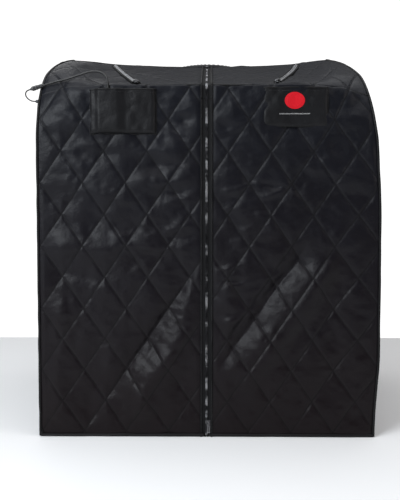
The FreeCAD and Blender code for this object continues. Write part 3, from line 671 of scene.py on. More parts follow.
def front_folds(x, z):
    h = np.zeros_like(x)
    # left half
    h += facet(x, z, (203, 254), (110, 392), 0.0110, 0.055, 0.066, 0.0120, 0.06)
    h += crease(x, z, (139, 243), (206, 247), 0.0055, 0.018, 0.010)
    h += crease(x, z, (105, 215), (147, 266), 0.0030, 0.010, 0.010)
    h += crease(x, z, (46, 244), (120, 246), 0.0100, 0.040, 0.022, 0.045)
    h += crease(x, z, (36, 268), (96, 272), -0.0070, 0.022, 0.020)
    h += facet(x, z, (160, 330), (112, 420), 0.0030, 0.035, 0.040, 0.0030, 0.05, 0.04, 15)
    h += crease(x, z, (60, 300), (52, 420), 0.0050, 0.030, 0.030)
    h += crease(x, z, (100, 330), (84, 430), -0.0045, 0.026, 0.026)
    h += crease(x, z, (60, 180), (140, 200), 0.0035, 0.020, 0.016)
    h += crease(x, z, (80, 150), (160, 158), -0.0035, 0.016, 0.020)
    # right half
    h += facet(x, z, (304, 246), (222, 362), 0.0130, 0.036, 0.068, 0.0120, 0.045)
    h += crease(x, z, (286, 272), (266, 297), -0.0040, 0.008, 0.010, 0.02)
    h += crease(x, z, (341, 272), (328, 405), -0.0060, 0.030, 0.030)
    h += crease(x, z, (219, 277), (241, 277), -0.0050, 0.007, 0.006, 0.015)
    h += crease(x, z, (262, 196), (286, 184), 0.0035, 0.008, 0.007, 0.015)
    h += crease(x, z, (240, 175), (292, 188), -0.0038, 0.009, 0.008, 0.02)
    h += crease(x, z, (225, 190), (262, 178), 0.0034, 0.008, 0.008, 0.02)
    h += crease(x, z, (222, 212), (270, 205), -0.0034, 0.010, 0.010, 0.02)
    h += crease(x, z, (300, 160), (360, 176), 0.0030, 0.016, 0.014)
    h += crease(x, z, (228, 300), (222, 415), 0.0050, 0.024, 0.020)
    h += crease(x, z, (255, 310), (225, 322), 0.0040, 0.012, 0.010, 0.02)
    # gathers beside the centre zip
    gap = np.maximum(np.abs(x) - 0.014, 0)
    near = 0.7 * np.exp(-gap / 0.055) + 0.3 * np.exp(-gap / 0.015)
    span = smooth(0.20, 0.32, z) * (1 - smooth(0.76, 0.81, z))
    tilt_ = x * np.sign(x) * 0.25
    h += 0.0088 * near * span * noise((z + tilt_) * 44, np.sign(x) * 3.0 + x * 5, 8)
    h += 0.0038 * near * span * noise((z - tilt_) * 88, np.sign(x) * 4.0 + x * 9, 18)
    h += 0.0016 * near * noise(z * 24, np.sign(x) * 5.0, 9)
    # slack, softly rumpled cloth, with long ripples across the upper part
    up = smooth(0.30, 0.62, z)
    h += 0.0050 * up * noise(x * 9 + z * 3, z * 28, 13) * (1 - 0.5 * np.exp(-gap / 0.03))
    h += 0.0034 * noise(x * 7 + z * 3, z * 5, 12)
    h += 0.0024 * noise(x * 24 - z * 9, z * 24 + x * 7, 16)
    h += 0.0009 * noise(x * 62, z * 75, 17)
    return h


def on_roof(o):
    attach(o, "rear")
    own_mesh(o)
    return o


# ---------------------------------------------------------------- front halves and slopes
FOLD_A, FOLD_B = np.array([0.0, 0.83]), np.array([-0.392, 0.0])


def fold_ends(side):
    """Two points on a line across the front's fold, near its middle, where the front would start and stop bending as
    its inner corner opens; nothing here bends it.
    """
    m = (FOLD_A + FOLD_B) / 2
    e = np.array([0.904, -0.427])
    a, b = m - e * 0.006, m + e * 0.022
    return (side * -1 * a[0] * -1 if side > 0 else a[0], Y_F, a[1]), (side * -1 * b[0] * -1 if side > 0 else b[0], Y_F, b[1])


def mirror_x(p):
    return (-p[0], p[1], p[2])


def bend_front(o, side):
    a, b = fold_ends(-1)
    if side > 0:
        a, b = mirror_x(a), mirror_x(b)
    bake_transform(o)
    return o


REF = {-1: (-0.2408, 0.3827), 1: (0.1999, 0.6007)}
front_normals = {}
for side, s in ((-1, "left"), (1, "right")):
    xs = np.linspace(-0.3945, -0.0125, 136) if side < 0 else np.linspace(0.0125, 0.3945, 136)
    P, S = grid_of(front_line, xs, 0, 286)
    X = P[..., 0]
    u, v = X - REF[side][0], S - REF[side][1]
    uv = np.stack([u, v], 2)
    edge = np.minimum(np.abs(np.abs(X) - 0.0125), np.abs(0.3945 - np.abs(X)))
    hem = smooth(-0.002, 0.014, S)
    fade = smooth(0.0, 0.012, edge)
    h = puff(u, v, 0.0025, 1 if side < 0 else 21) * fade * hem
    h = h + front_folds(X, S) * smooth(0.0, 0.05, edge) * smooth(0.0, 0.05, S) + 0.0006
    N = grid_normals(P)
    P = P + N * h[..., None]
    if side > 0:
        bul = 0.010 * smooth(0.30, 0.3945, X) * smooth(0.02, 0.2, S) * (1 - smooth(0.5, 0.75, S))
        P[..., 0] += bul
    o = shell("quilted_front_" + s, P, uv, 0.0030, [SATIN, BACK], post=lean)
    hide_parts("front_panel_" + s, "front_flap_" + s)
    bend_front(o, side)
    # slope
    P, S = grid_of(front_line, xs, 1, 118)
    u, v = P[..., 0] - REF[side][0], S - REF[side][1]
    uv = np.stack([u, v], 2)
    X = P[..., 0]
    edge = np.minimum(np.abs(np.abs(X) - 0.0125), np.abs(0.3945 - np.abs(X)))
    h = puff(u, v, 0.0022, 1 if side < 0 else 21) * smooth(0.0, 0.012, edge) + 0.0006
    h += 0.0022 * noise(X * 9, v * 5, 14) * smooth(0.0, 0.05, edge)
    ridge_dist = RIDGE_Y - P[..., 1]
    h *= smooth(-0.004, 0.012, ridge_dist)
    P = P + grid_normals(P) * h[..., None]
    o = shell("quilted_slope_" + s, P, uv, 0.0030, [SATIN, BACK], post=lean)
    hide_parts("slope_" + s)
    on_roof(o)

# ---------------------------------------------------------------- rear of the roof with the neck hole, and the rear wall
NECK = np.array([0.0, 0.165])
xs = np.linspace(-0.3945, 0.3945, 200)
P, S = grid_of(rear_line, xs, 0, 84)
u, v = P[..., 0] - 0.02, S + 0.05
uv = np.stack([u, v], 2)
edge = 0.3945 - np.abs(P[..., 0])
rn = np.hypot(P[..., 0] - NECK[0], P[..., 1] - NECK[1])
pull = np.exp(-np.maximum(rn - 0.115, 0) / 0.05)
ang = np.arctan2(P[..., 1] - NECK[1], P[..., 0] - NECK[0])
h = puff(u, v, 0.0030, 33) * smooth(0.0, 0.012, edge) + 0.0005
h += 0.0022 * pull * np.sin(ang * 34 + 2 * np.sin(ang * 5))
h *= smooth(-0.004, 0.012, P[..., 1] - RIDGE_Y)
drop_v = rn < 0.1115
P = P + grid_normals(P) * h[..., None]
cell = drop_v[:-1, :-1] & drop_v[1:, :-1] & drop_v[:-1, 1:] & drop_v[1:, 1:]
inner = (rn < 0.1115)
k = np.where(inner, 0.1115 / np.maximum(rn, 1e-6), 1.0)
P[..., 0] = np.where(inner & (rn > 0.09), NECK[0] + (P[..., 0] - NECK[0]) * k, P[..., 0])
P[..., 1] = np.where(inner & (rn > 0.09), NECK[1] + (P[..., 1] - NECK[1]) * k, P[..., 1])
o = shell("quilted_roof_rear", P[::-1, :], uv[::-1, :], -0.0030, [SATIN, BACK], drop=cell[::-1, :], post=lean) if False else shell("quilted_roof_rear", P, uv, 0.0030, [SATIN, BACK], drop=cell, post=lean)
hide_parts("roof_rear")
on_roof(o)

P, S = grid_of(rear_line, xs, 1, 200)
u, v = P[..., 0] - 0.02, S + 0.05
uv = np.stack([u, v], 2)
edge = 0.3945 - np.abs(P[..., 0])
h = puff(u, v, 0.0034, 35) * smooth(0.0, 0.012, edge) * smooth(-0.002, 0.014, P[..., 2]) + 0.0006
X, Z = P[..., 0], P[..., 2]
box_near = smooth(0.0, 0.02, np.maximum(np.abs(X) - 0.045, np.abs(Z - 0.125) - 0.05))
h = h * box_near + 0.0002
h += 0.003 * noise(X * 6, Z * 5, 40) * smooth(0.0, 0.05, edge) * box_near * smooth(0.0, 0.05, Z)
P = P + grid_normals(P) * h[..., None]
o = shell("quilted_rear_wall", P, uv, 0.0030, [SATIN, BACK])
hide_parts("rear_skin")
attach(o, "rear")

# ---------------------------------------------------------------- quilted sides
def side_top(y):
    """Height of the side's top edge at y, just under the loop."""
    if y <= RIDGE_Y:
        pts, S, _ = front_line(0.4)
        i = np.argsort(pts[1:, 0], kind="stable")
        return float(np.interp(y, pts[1:, 0][i], pts[1:, 1][i]))
    pts, S, _ = rear_line(0.4)
    i = np.argsort(pts[:-1, 0], kind="stable")
    return float(np.interp(y, pts[:-1, 0][i], pts[:-1, 1][i]))


Z_SPLIT = 0.700     # below this the side folds as a panel; above it the cloth gathers with the roof
for side, s in ((-1, "left"), (1, "right")):
    for part, y0, y1 in (("front", Y_F, 0.0), ("rear", 0.0, Y_R)):
        # closer columns towards the rounded corner
        t = np.linspace(0, 1, 92)
        if part == "front":
            ys = y0 + (y1 - y0) * t ** 1.5
        else:
            ys = y1 - (y1 - y0) * (1 - t) ** 1.5
        tops = np.array([side_top(float(np.clip(y, Y_F + 0.0005, Y_R - 0.0005))) - 0.003 for y in ys])
        tops[0 if part == "front" else -1] = 0.713 if part == "front" else 0.815
        split = np.minimum(Z_SPLIT, tops - 0.003)
        for level in ("wall", "gusset"):
            lo_z, hi_z, rows = (np.zeros_like(tops), split, 170) if level == "wall" else (split, tops, 46)
            f = np.linspace(0, 1, rows)
            Yg = np.broadcast_to(ys, (rows, len(ys)))
            Zg = lo_z[None, :] + f[:, None] * (hi_z - lo_z)[None, :]
            P = np.stack([np.full_like(Zg, side * 0.3965), Yg, Zg], 2)
            tt = np.broadcast_to(tops, Zg.shape)
            if side < 0:
                P, tt = P[:, ::-1], tt[:, ::-1]
            Yg, Zg = P[..., 1], P[..., 2]
            u, v = Yg + 0.011, Zg - 0.30
            uv = np.stack([u, v], 2)
            d_edge = np.minimum(np.minimum(tt - Zg, Yg - Y_F), Y_R - Yg)
            mid = smooth(0.0, 0.012, d_edge) * smooth(-0.002, 0.014, Zg)
            h = puff(u, v, 0.0032, 50 + side) * mid
            amp = 0.014 if side > 0 else 0.003
            h += amp * np.sin(np.clip((Yg - Y_F) / 0.35, 0, 1) * math.pi) * smooth(0.0, 0.25, Zg) * smooth(0, 0.15, tt - Zg) * (1.0 if part == "front" else 0.0)
            h += 0.0026 * noise(Yg * 8, Zg * 5, 60 + side) * smooth(0.0, 0.05, d_edge) * smooth(0, 0.05, np.abs(Yg)) * smooth(0, 0.05, Zg)
            P = P.copy()
            P[..., 0] += side * h
            o = shell("quilted_%s_%s_%s" % (level, part, s), P, uv, 0.0030, [SATIN, BACK], post=lean)
            if level == "wall":
                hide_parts("side_%s_skin_%s" % (part, s))
                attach(o, "side_%s_%s" % (part, s))
            else:
                on_roof(o)

# ---------------------------------------------------------------- pale liner and frame wires, inside the quilting
for side, s in ((-1, "left"), (1, "right")):
    for part, y0, y1 in (("front", Y_F + 0.0105, -0.0004), ("rear", 0.0004, Y_R - 0.0105)):
        ys = np.linspace(y0, y1, 60)
        tops = np.array([side_top(float(y)) for y in ys]) - 0.0125
        split = np.minimum(Z_SPLIT - 0.002, tops - 0.003)
        for level in ("wall", "gusset"):
            lo_z, hi_z, rows = (np.zeros_like(tops), split, 90) if level == "wall" else (split, tops, 24)
            # the upper piece starts well behind the front, so that it stays behind it when the roof is drawn back
            yb = ys if level == "wall" or part == "rear" else ys[0] + 0.030 + (ys - ys[0]) * (1 - 0.030 / (ys[-1] - ys[0]))
            if level == "gusset":
                hi_z = np.interp(yb, ys, tops)
            f = np.linspace(0, 1, rows)
            Zg = lo_z[None, :] + f[:, None] * (hi_z - lo_z)[None, :]
            Yg = np.broadcast_to(yb, Zg.shape)
            d_edge = np.minimum(np.minimum(np.broadcast_to(tops, Zg.shape) - Zg, Zg), np.minimum(Yg - y0, y1 - Yg))
            X = side * ((0.3915 if level == "wall" else 0.3890) - 0.0006 + smooth(0, 0.03, d_edge) * (0.0006 * noise(Yg * 9, Zg * 7, 150) + 0.0004 * noise(Yg * 30, Zg * 30, 151)))
            P = np.stack([X, Yg, Zg], 2)
            uv = np.stack([Yg, Zg], 2)
            if side < 0:
                P, uv = P[:, ::-1], uv[:, ::-1]
            o = shell("liner_%s_%s_%s" % (level, part, s), P, uv, 0.0014, [LINER, LINER], post=lean)
            if level == "wall":
                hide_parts("side_%s_liner_%s" % (part, s))
                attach(o, "side_%s_%s" % (part, s))
            else:
                on_roof(o)
        ys = np.linspace(y0 + 0.006, y1 - 0.006, 120)
        loop = [(side * 0.3930, y, side_top(float(y)) - 0.0145) for y in ys]
        rise_a = [(side * 0.3930, ys[0], z) for z in np.linspace(0.006, loop[0][2] - 0.004, 60)]
        rise_b = [(side * 0.3930, ys[-1], z) for z in np.linspace(loop[-1][2] - 0.004, 0.006, 60)]
        foot = [(side * 0.3930, y, 0.0055) for y in ys[::-4][1:-1]]
        whole = rise_a + loop + rise_b
        high = [q for q in whole if q[2] > Z_SPLIT - 0.004]
        k0 = next(i for i, q in enumerate(whole) if q[2] > Z_SPLIT - 0.004)
        k1 = len(whole) - next(i for i, q in enumerate(whole[::-1]) if q[2] > Z_SPLIT - 0.004)
        low = whole[k1 - 1:] + foot + whole[:k0 + 1]
        P = lean(resample(np.array(low), 0.005))
        o = tube("frame_wire_%s_%s" % (part, s), P, 0.0018, [STEEL], 8)
        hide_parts("side_%s_wire_%s" % (part, s))
        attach(o, "side_%s_%s" % (part, s))
        o = tube("frame_wire_top_%s_%s" % (part, s), lean(resample(np.array(whole[k0:k1]), 0.005)), 0.0018, [STEEL], 8)
        on_roof(o)
xs = np.linspace(-0.3915, 0.3915, 120)
P, S = grid_of(rear_line, xs, 1, 120)
uv = np.stack([P[..., 0], S], 2)
d_edge = np.minimum(0.3915 - np.abs(P[..., 0]), P[..., 2])
N = grid_normals(P)
P = P - N * (0.0095 + 0.0005 * noise(P[..., 0] * 12, S * 9, 160) * smooth(0, 0.03, d_edge))[..., None]
P[..., 2] = np.maximum(P[..., 2], 0.001)
P[..., 1] = np.where(P[..., 1] > 0.3395, P[..., 1], P[..., 1])
o = shell("liner_rear_wall", P, uv, 0.0014, [LINER, LINER])
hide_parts("rear_liner")
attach(o, "rear")
xr = np.linspace(-0.384, 0.384, 240)
loop = []
for x in xr:
    pts, S, mid = rear_line(float(x))
    loop.append((x, float(np.interp(mid, S, pts[:, 0])) - 0.0058, float(np.interp(mid, S, pts[:, 1])) - 0.012))
loop = [(-0.386, min(loop[0][1], 0.3440), z) for z in np.linspace(0.006, 0.80, 60)] + loop + [(0.386, min(loop[-1][1], 0.3440), z) for z in np.linspace(0.80, 0.006, 60)]
loop = [(x, 0.3442 if z < 0.81 else y, z) for x, y, z in loop] + [(x, 0.3442, 0.0055) for x in xr[::-6][1:-1]]
o = tube("frame_wire_rear_wall", resample(np.array(loop), 0.006), 0.0018, [STEEL], 8, closed=True)
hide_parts("rear_wire")
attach(o, "rear")

# ---------------------------------------------------------------- piping, hems and seams
def wob(P, amp, seed, freq=30.0):
    P = np.asarray(P, float).copy()
    L = np.concatenate([[0], np.cumsum(np.linalg.norm(np.diff(P, axis=0), axis=1))])
    for kx in range(3):
        P[:, kx] += amp * noise(L * freq, np.full(len(P), kx * 3.3), seed)
    return P


roof_parts = []


def tube_data(P, r, sides=10):
    o = tube("tmp", P, r, [PIPING], sides)
    V = [tuple(v.co) for v in o.data.vertices]
    F = [tuple(p.vertices) for p in o.data.polygons]
    me = o.data
    bpy.data.objects.remove(o)
    bpy.data.meshes.remove(me)
    return V, F


for side, s in ((-1, "left"), (1, "right")):
    pts, S, mid = front_line(0.4)
    s1 = np.linspace(0.0, mid, 240)
    P = np.stack([np.full(240, side * 0.3966), np.interp(s1, S, pts[:, 0]) - 0.0005, np.interp(s1, S, pts[:, 1])], 1)
    if side > 0:
        P[:, 0] += 0.010 * smooth(0.02, 0.2, P[:, 2]) * (1 - smooth(0.5, 0.75, P[:, 2]))
    P = lean(wob(P, 0.0006, 70 + side))
    P[0, 2] = 0.002
    o = tube("front_edge_piping_" + s, P, 0.0031, [PIPING], 10)
    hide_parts("front_piping_" + s)
    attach(o, "front_" + s)
    s2 = np.linspace(mid, S[-1], 150)
    A = np.stack([np.full(150, side * 0.3966), np.interp(s2, S, pts[:, 0]), np.interp(s2, S, pts[:, 1]) + 0.001], 1)
    pts, S, mid = rear_line(0.4)
    s3 = np.linspace(0, S[-1], 420)[1:]
    B = np.stack([np.full(419, side * 0.3966), np.interp(s3, S, pts[:, 0]), np.interp(s3, S, pts[:, 1]) + 0.001], 1)
    B[:, 1] = np.minimum(B[:, 1], 0.3485)
    top = B[B[:, 2] > 0.80]
    roof_parts.append((*tube_data(lean(wob(resample(np.vstack([A, top]), 0.004), 0.0006, 80 + side)), 0.0031), 0))
    low = B[B[:, 2] <= 0.806]
    o = tube("rear_edge_piping_" + s, wob(resample(low, 0.005), 0.0005, 85 + side), 0.0031, [PIPING], 10)
    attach(o, "rear")
# ridge and crease seams
for yy, nm in ((RIDGE_Y, "r"), (Y_F + 0.001, "c"), (Y_R - 0.001, "b")):
    for side in (-1, 1):
        xs_ = np.linspace(0.0125, 0.394, 160) * side
        row = []
        for x in xs_:
            if nm == "r":
                row.append((x, RIDGE_Y, z_ridge(x) + 0.0006))
            elif nm == "c":
                pts, S, mid = front_line(x)
                row.append((x, np.interp(mid, S, pts[:, 0]) + 0.0004, np.interp(mid, S, pts[:, 1]) + 0.0008))
            else:
                pts, S, mid = rear_line(x)
                row.append((x, np.interp(mid, S, pts[:, 0]) + 0.0002, np.interp(mid, S, pts[:, 1]) + 0.0008))
        row = lean(wob(resample(row, 0.004), 0.0004, 90 + side))
        roof_parts.append((*tube_data(row, 0.0021 if nm != "r" else 0.0016, 8), 0))
o = join("roof_edge_piping", roof_parts, [PIPING])
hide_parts("roof_piping")
on_roof(o)

for side, s in ((-1, "left"), (1, "right")):
    # bound hem of the front half, slightly wavy
    X = np.linspace(0.006, 0.395, 150) * side
    P = np.stack([X, Y_F - 0.0010 + 0.0010 * noise(X * 22, X * 0, 91 + side), 0.0042 + 0.0007 * noise(X * 26, X * 0 + 4, 92 + side)], 1)
    o = tube("front_hem_" + s, P, 0.0038, [PIPING], 10, 0.8)
    bend_front(o, side)
    for part, y0, y1 in (("front", Y_F, -0.001), ("rear", 0.001, Y_R)):
        Y = np.linspace(y0 + 0.002, y1 - 0.002, 90)
        P = np.stack([side * (0.3968 + 0.0008 * noise(Y * 22, Y * 0, 95)), Y, 0.0042 + 0.0007 * noise(Y * 26, Y * 0 + 4, 96)], 1)
        o = tube("side_hem_%s_%s" % (part, s), P, 0.0038, [PIPING], 10, 0.8)
        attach(o, "side_%s_%s" % (part, s))
X = np.linspace(-0.394, 0.394, 260)
P = np.stack([X, Y_R - 0.0005 + 0.0008 * noise(X * 22, X * 0, 97), 0.0042 + 0.0007 * noise(X * 26, X * 0 + 4, 98)], 1)
o = tube("rear_hem", P, 0.0038, [PIPING], 10, 0.8)
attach(o, "rear")

# bunched end of the hem binding at the left corner
Pb = np.array([(-0.3905, -0.3520, 0.004), (-0.3935, -0.3535, 0.009), (-0.3962, -0.3540, 0.0145), (-0.3958, -0.3525, 0.019), (-0.3930, -0.3515, 0.0165), (-0.3915, -0.3518, 0.011)])
Pb = resample(np.vstack([Pb, [(-0.3922, -0.3512, 0.006)]]), 0.0008)
o = tube("hem_corner_bunch", wob(Pb, 0.0003, 99, 200.0), 0.0017 + 0.0004 * np.sin(np.linspace(0, 9, len(Pb))), [PIPING], 10)
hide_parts("corner_tab_left")
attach(o, "front_left")

# ---------------------------------------------------------------- centre zip
def line_3d(line, x, s0, s1, n, lift=0.0):
    pts, S, mid = line(x)
    s = np.linspace(s0, s1, n)
    P = np.stack([np.full(n, x), np.interp(s, S, pts[:, 0]), np.interp(s, S, pts[:, 1])], 1)
    T = np.gradient(P, axis=0)
    T /= np.linalg.norm(T, axis=1, keepdims=True)
    N = np.cross(np.array([1.0, 0, 0]), T)
    return P + N * lift, N


_pts, _S, _mid = front_line(0.0)
S_TOP = 0.797
S_NECK = _S[-1] - 0.008
for side, s in ((-1, "left"), (1, "right")):
    def tape(s0, s1, rows):
        xs_ = np.array([0.0012, 0.0024, 0.004, 0.006, 0.008, 0.0098, 0.0112, 0.0124, 0.0134, 0.0145]) * side
        lift = np.array([0.0012, 0.0012, 0.0008, 0.0006, 0.0007, 0.0012, 0.0034, 0.0041, 0.0036, 0.0020])
        if side < 0:
            xs_, lift = xs_[::-1], lift[::-1]
        P = np.zeros((rows, len(xs_), 3))
        for j, x in enumerate(xs_):
            sv = np.linspace(s0, s1, rows)
            lf = lift[j] + (0.0007 * noise(sv * 40, np.full(rows, j * 0.2 + side), 7) if abs(x) > 0.0095 else 0)
            Q, N = line_3d(front_line, float(x), s0, s1, rows)
            P[:, j] = Q + N * np.asarray(lf)[..., None] if np.ndim(lf) else Q + N * lf
            P[:, j, 0] += 0.0006 * noise(sv * 30, np.full(rows, float(side) * 2), 6) * (abs(x) > 0.0095)
        uv = np.stack([P[..., 0], np.broadcast_to(np.linspace(s0, s1, rows)[:, None], P.shape[:2])], 2)
        return P, uv
    P, uv = tape(0.0, S_TOP, 300)
    tp = shell("tmp_tape", P, uv, 0.0011, [TAPE, TAPE])
    parts = [([tuple(v.co) for v in tp.data.vertices], [tuple(p.vertices) for p in tp.data.polygons], 0)]
    me = tp.data
    bpy.data.objects.remove(tp)
    bpy.data.meshes.remove(me)
    C, N = line_3d(front_line, 0.0, 0.004, S_TOP, 500)
    parts.append((*dashes(C, N, 0.0011, 0.0021, 0.0014, 0.0019, shift=0.0 if side < 0 else 0.00095, side=-side * -0.0009, lift=0.0013), 1))
    parts.append((*dashes(C, N, 0.0017, 0.0006, 0.0010, 0.0019, side=side * 0.0022, lift=0.0011), 1))
    for off in (0.0117, 0.0133):
        parts.append((*dashes(C, N, 0.0024, 0.0005, 0.0004, 0.0034, side=side * off, lift=0.0037), 2))
    o = join("zip_half_" + s, parts, [TAPE, TEETH, THREAD])
    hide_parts("zip_side_" + s)
    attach(o, "flap_" + s)

parts = []
for side in (-1, 1):
    P, uv = None, None
    xs_ = np.array([0.0012, 0.0024, 0.004, 0.006, 0.008, 0.0098, 0.0112, 0.0124, 0.0134, 0.0145]) * side
    lift = np.array([0.0012, 0.0012, 0.0008, 0.0006, 0.0007, 0.0012, 0.0034, 0.0041, 0.0036, 0.0020])
    if side < 0:
        xs_, lift = xs_[::-1], lift[::-1]
    rows = 160
    P = np.zeros((rows, len(xs_), 3))
    for j, x in enumerate(xs_):
        Q, N = line_3d(front_line, float(x), S_TOP, S_NECK, rows)
        P[:, j] = Q + N * lift[j]
    uv = np.stack([P[..., 0], np.broadcast_to(np.linspace(S_TOP, S_NECK, rows)[:, None], P.shape[:2])], 2)
    tp = shell("tmp_tape", P, uv, 0.0011, [TAPE, TAPE])
    parts.append(([tuple(v.co) for v in tp.data.vertices], [tuple(p.vertices) for p in tp.data.polygons], 0))
    me = tp.data
    bpy.data.objects.remove(tp)
    bpy.data.meshes.remove(me)
    C, N = line_3d(front_line, 0.0, S_TOP, S_NECK, 240)
    parts.append((*dashes(C, N, 0.0011, 0.0021, 0.0014, 0.0019, shift=0.0 if side < 0 else 0.00095, side=side * 0.0009, lift=0.0013), 1))
    parts.append((*dashes(C, N, 0.0017, 0.0006, 0.0010, 0.0019, side=side * 0.0022, lift=0.0011), 1))
    for off in (0.0117, 0.0133):
        parts.append((*dashes(C, N, 0.0024, 0.0005, 0.0004, 0.0034, side=side * off, lift=0.0037), 2))
o = join("slope_zip_strip", parts, [TAPE, TEETH, THREAD])
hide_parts("slope_zip")
on_roof(o)

# ---------------------------------------------------------------- arm zips on the slope
def roof_point(x, y, lift=0.0):
    pts, S, mid = front_line(x)
    i = np.argsort(pts[1:, 0], kind="stable")
    z = float(np.interp(y, pts[1:, 0][i], pts[1:, 1][i]))
    return (x, y, z + lift)


ARM_A, ARM_B = (-0.165, -0.338), (-0.262, 0.005)
parts = []
for side in (-1, 1):
    t = np.linspace(0, 1, 130)
    C = np.array([roof_point(side * abs(ARM_A[0] + (ARM_B[0] - ARM_A[0]) * k), ARM_A[1] + (ARM_B[1] - ARM_A[1]) * k) for k in t])
    C = lean(C)
    T = np.gradient(C, axis=0)
    T /= np.linalg.norm(T, axis=1, keepdims=True)
    W = np.cross(T, np.array([0, 0, 1.0]))
    W /= np.linalg.norm(W, axis=1, keepdims=True)
    N = np.cross(W, T)
    off = np.array([-0.0110, -0.0098, -0.0085, -0.0070, -0.0045, -0.0015, 0.0015, 0.0045, 0.0070, 0.0085, 0.0098, 0.0110])
    lf = np.array([0.0015, 0.0048, 0.0052, 0.0040, 0.0036, 0.0036, 0.0036, 0.0036, 0.0040, 0.0052, 0.0048, 0.0015])
    P = C[:, None] + W[:, None] * off[None, :, None] + N[:, None] * lf[None, :, None]
    Nn = grid_normals(P)
    if Nn[60, 5, 2] < 0:
        P = P[:, ::-1]
    uv = np.stack([np.broadcast_to(off, P.shape[:2]), np.broadcast_to((t * 0.37)[:, None], P.shape[:2])], 2)
    tp = shell("tmp_tape", P, uv, 0.0012, [TAPE, TAPE])
    F = [tuple(p.vertices) for p in tp.data.polygons]
    Vt = [tuple(v.co) for v in tp.data.vertices]
    me = tp.data
    bpy.data.objects.remove(tp)
    bpy.data.meshes.remove(me)
    parts.append((Vt, F, 0))
    # pale coil strip between dark bound edges
    off2 = np.array([-0.0052, -0.0046, -0.0028, -0.0010, 0.0010, 0.0028, 0.0046, 0.0052])
    lf2 = np.array([0.0040, 0.0046, 0.0050, 0.0056, 0.0056, 0.0050, 0.0046, 0.0040])
    P2 = C[:, None] + W[:, None] * off2[None, :, None] + N[:, None] * lf2[None, :, None]
    if grid_normals(P2)[60, 3, 2] < 0:
        P2 = P2[:, ::-1]
    tp = shell("tmp_tape", P2, np.stack([np.broadcast_to(off2, P2.shape[:2]), np.broadcast_to((t * 0.37)[:, None], P2.shape[:2])], 2), 0.0008, [TAPE, TAPE])
    parts.append(([tuple(v.co) for v in tp.data.vertices], [tuple(p.vertices) for p in tp.data.polygons], 1))
    me = tp.data
    bpy.data.objects.remove(tp)
    bpy.data.meshes.remove(me)
    parts.append((*dashes(C, N, 0.0009, 0.0030, 0.0009, 0.0016, lift=0.0056), 2))
    for q in (-0.0092, 0.0092):
        parts.append((*dashes(C, N, 0.0024, 0.0005, 0.0004, 0.0034, side=q, lift=0.0052), 3))
    # rounded end tacks
    for e, k in ((2, 1), (-3, -1)):
        c = C[e] + N[e] * 0.004
        V, F = bevel_box((0.021, 0.004, 0.0035), (0, 0, 0), 0.0012, 2)
        M = Matrix((W[e].tolist(), T[e].tolist(), N[e].tolist())).transposed().to_4x4()
        parts.append(([tuple(M @ Vector(v) + Vector(c)) for v in V], F, 0))
o = join("arm_zip_strips", parts, [TAPE, PALE_TAPE, PALE_METAL, THREAD])
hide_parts("arm_zips")
on_roof(o)

# ---------------------------------------------------------------- knitted neck collar, gathered on elastic
n_a, n_r = 420, 22
an = np.linspace(0, 2 * math.pi, n_a, endpoint=False)
tilt = math.atan2(0.952 - 0.93, 0.30)
prof_t = np.linspace(0, 2 * math.pi, n_r, endpoint=False)
V = np.zeros((n_a, n_r, 3))
for i, a in enumerate(an):
    rp = 1 + 0.10 * math.sin(a * 62 + 1.5 * math.sin(a * 7)) + 0.03 * math.sin(a * 131)
    for j, b in enumerate(prof_t):
        rr = 0.1115 + 0.0085 * math.cos(b)
        hh = 0.0005 + (0.0068 * rp) * math.sin(b)
        x = rr * math.cos(a)
        y = 0.165 + rr * math.sin(a)
        z = 0.952 - math.tan(tilt) * (y - RIDGE_Y) + 0.013 * (x / 0.33) ** 2 * 0.5 + hh + 0.0025
        V[i, j] = (x, y, z)
F = []
for i in range(n_a):
    for j in range(n_r):
        i2, j2 = (i + 1) % n_a, (j + 1) % n_r
        F.append((i * n_r + j, i2 * n_r + j, i2 * n_r + j2, i * n_r + j2))
uvc = np.stack([np.repeat(an * 0.11, n_r), np.tile(prof_t * 0.008, n_a)], 1)
o = make("neck_cuff", V.reshape(-1, 3), F, [KNIT], uv=uvc)
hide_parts("neck_collar")
on_roof(o)

# ---------------------------------------------------------------- floor sheet: the CAD node lies inside; a rumpled cloth shows
def cad_box(nm):
    lo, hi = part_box(nm)
    return Vector(lo), Vector(hi)


lo, hi = cad_box("floor_sheet")
xs_ = np.linspace(lo.x, hi.x, 110)
ys_ = np.linspace(lo.y, hi.y, 100)
Xg, Yg = np.meshgrid(xs_, ys_)
top = hi.z + 0.0002
e = np.minimum(np.minimum(Xg - lo.x, hi.x - Xg), np.minimum(Yg - lo.y, hi.y - Yg))
Zg = top + smooth(0, 0.04, e) * (0.0016 + 0.0016 * noise(Xg * 14, Yg * 14, 101) + 0.0008 * noise(Xg * 40, Yg * 40, 102))
P = np.stack([Xg, Yg, Zg], 2)
o = shell("floor_cloth", P, np.stack([Xg, Yg], 2), 0.0012, [MAT_CLOTH, MAT_CLOTH])
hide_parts("floor_sheet")
on_roof(o)

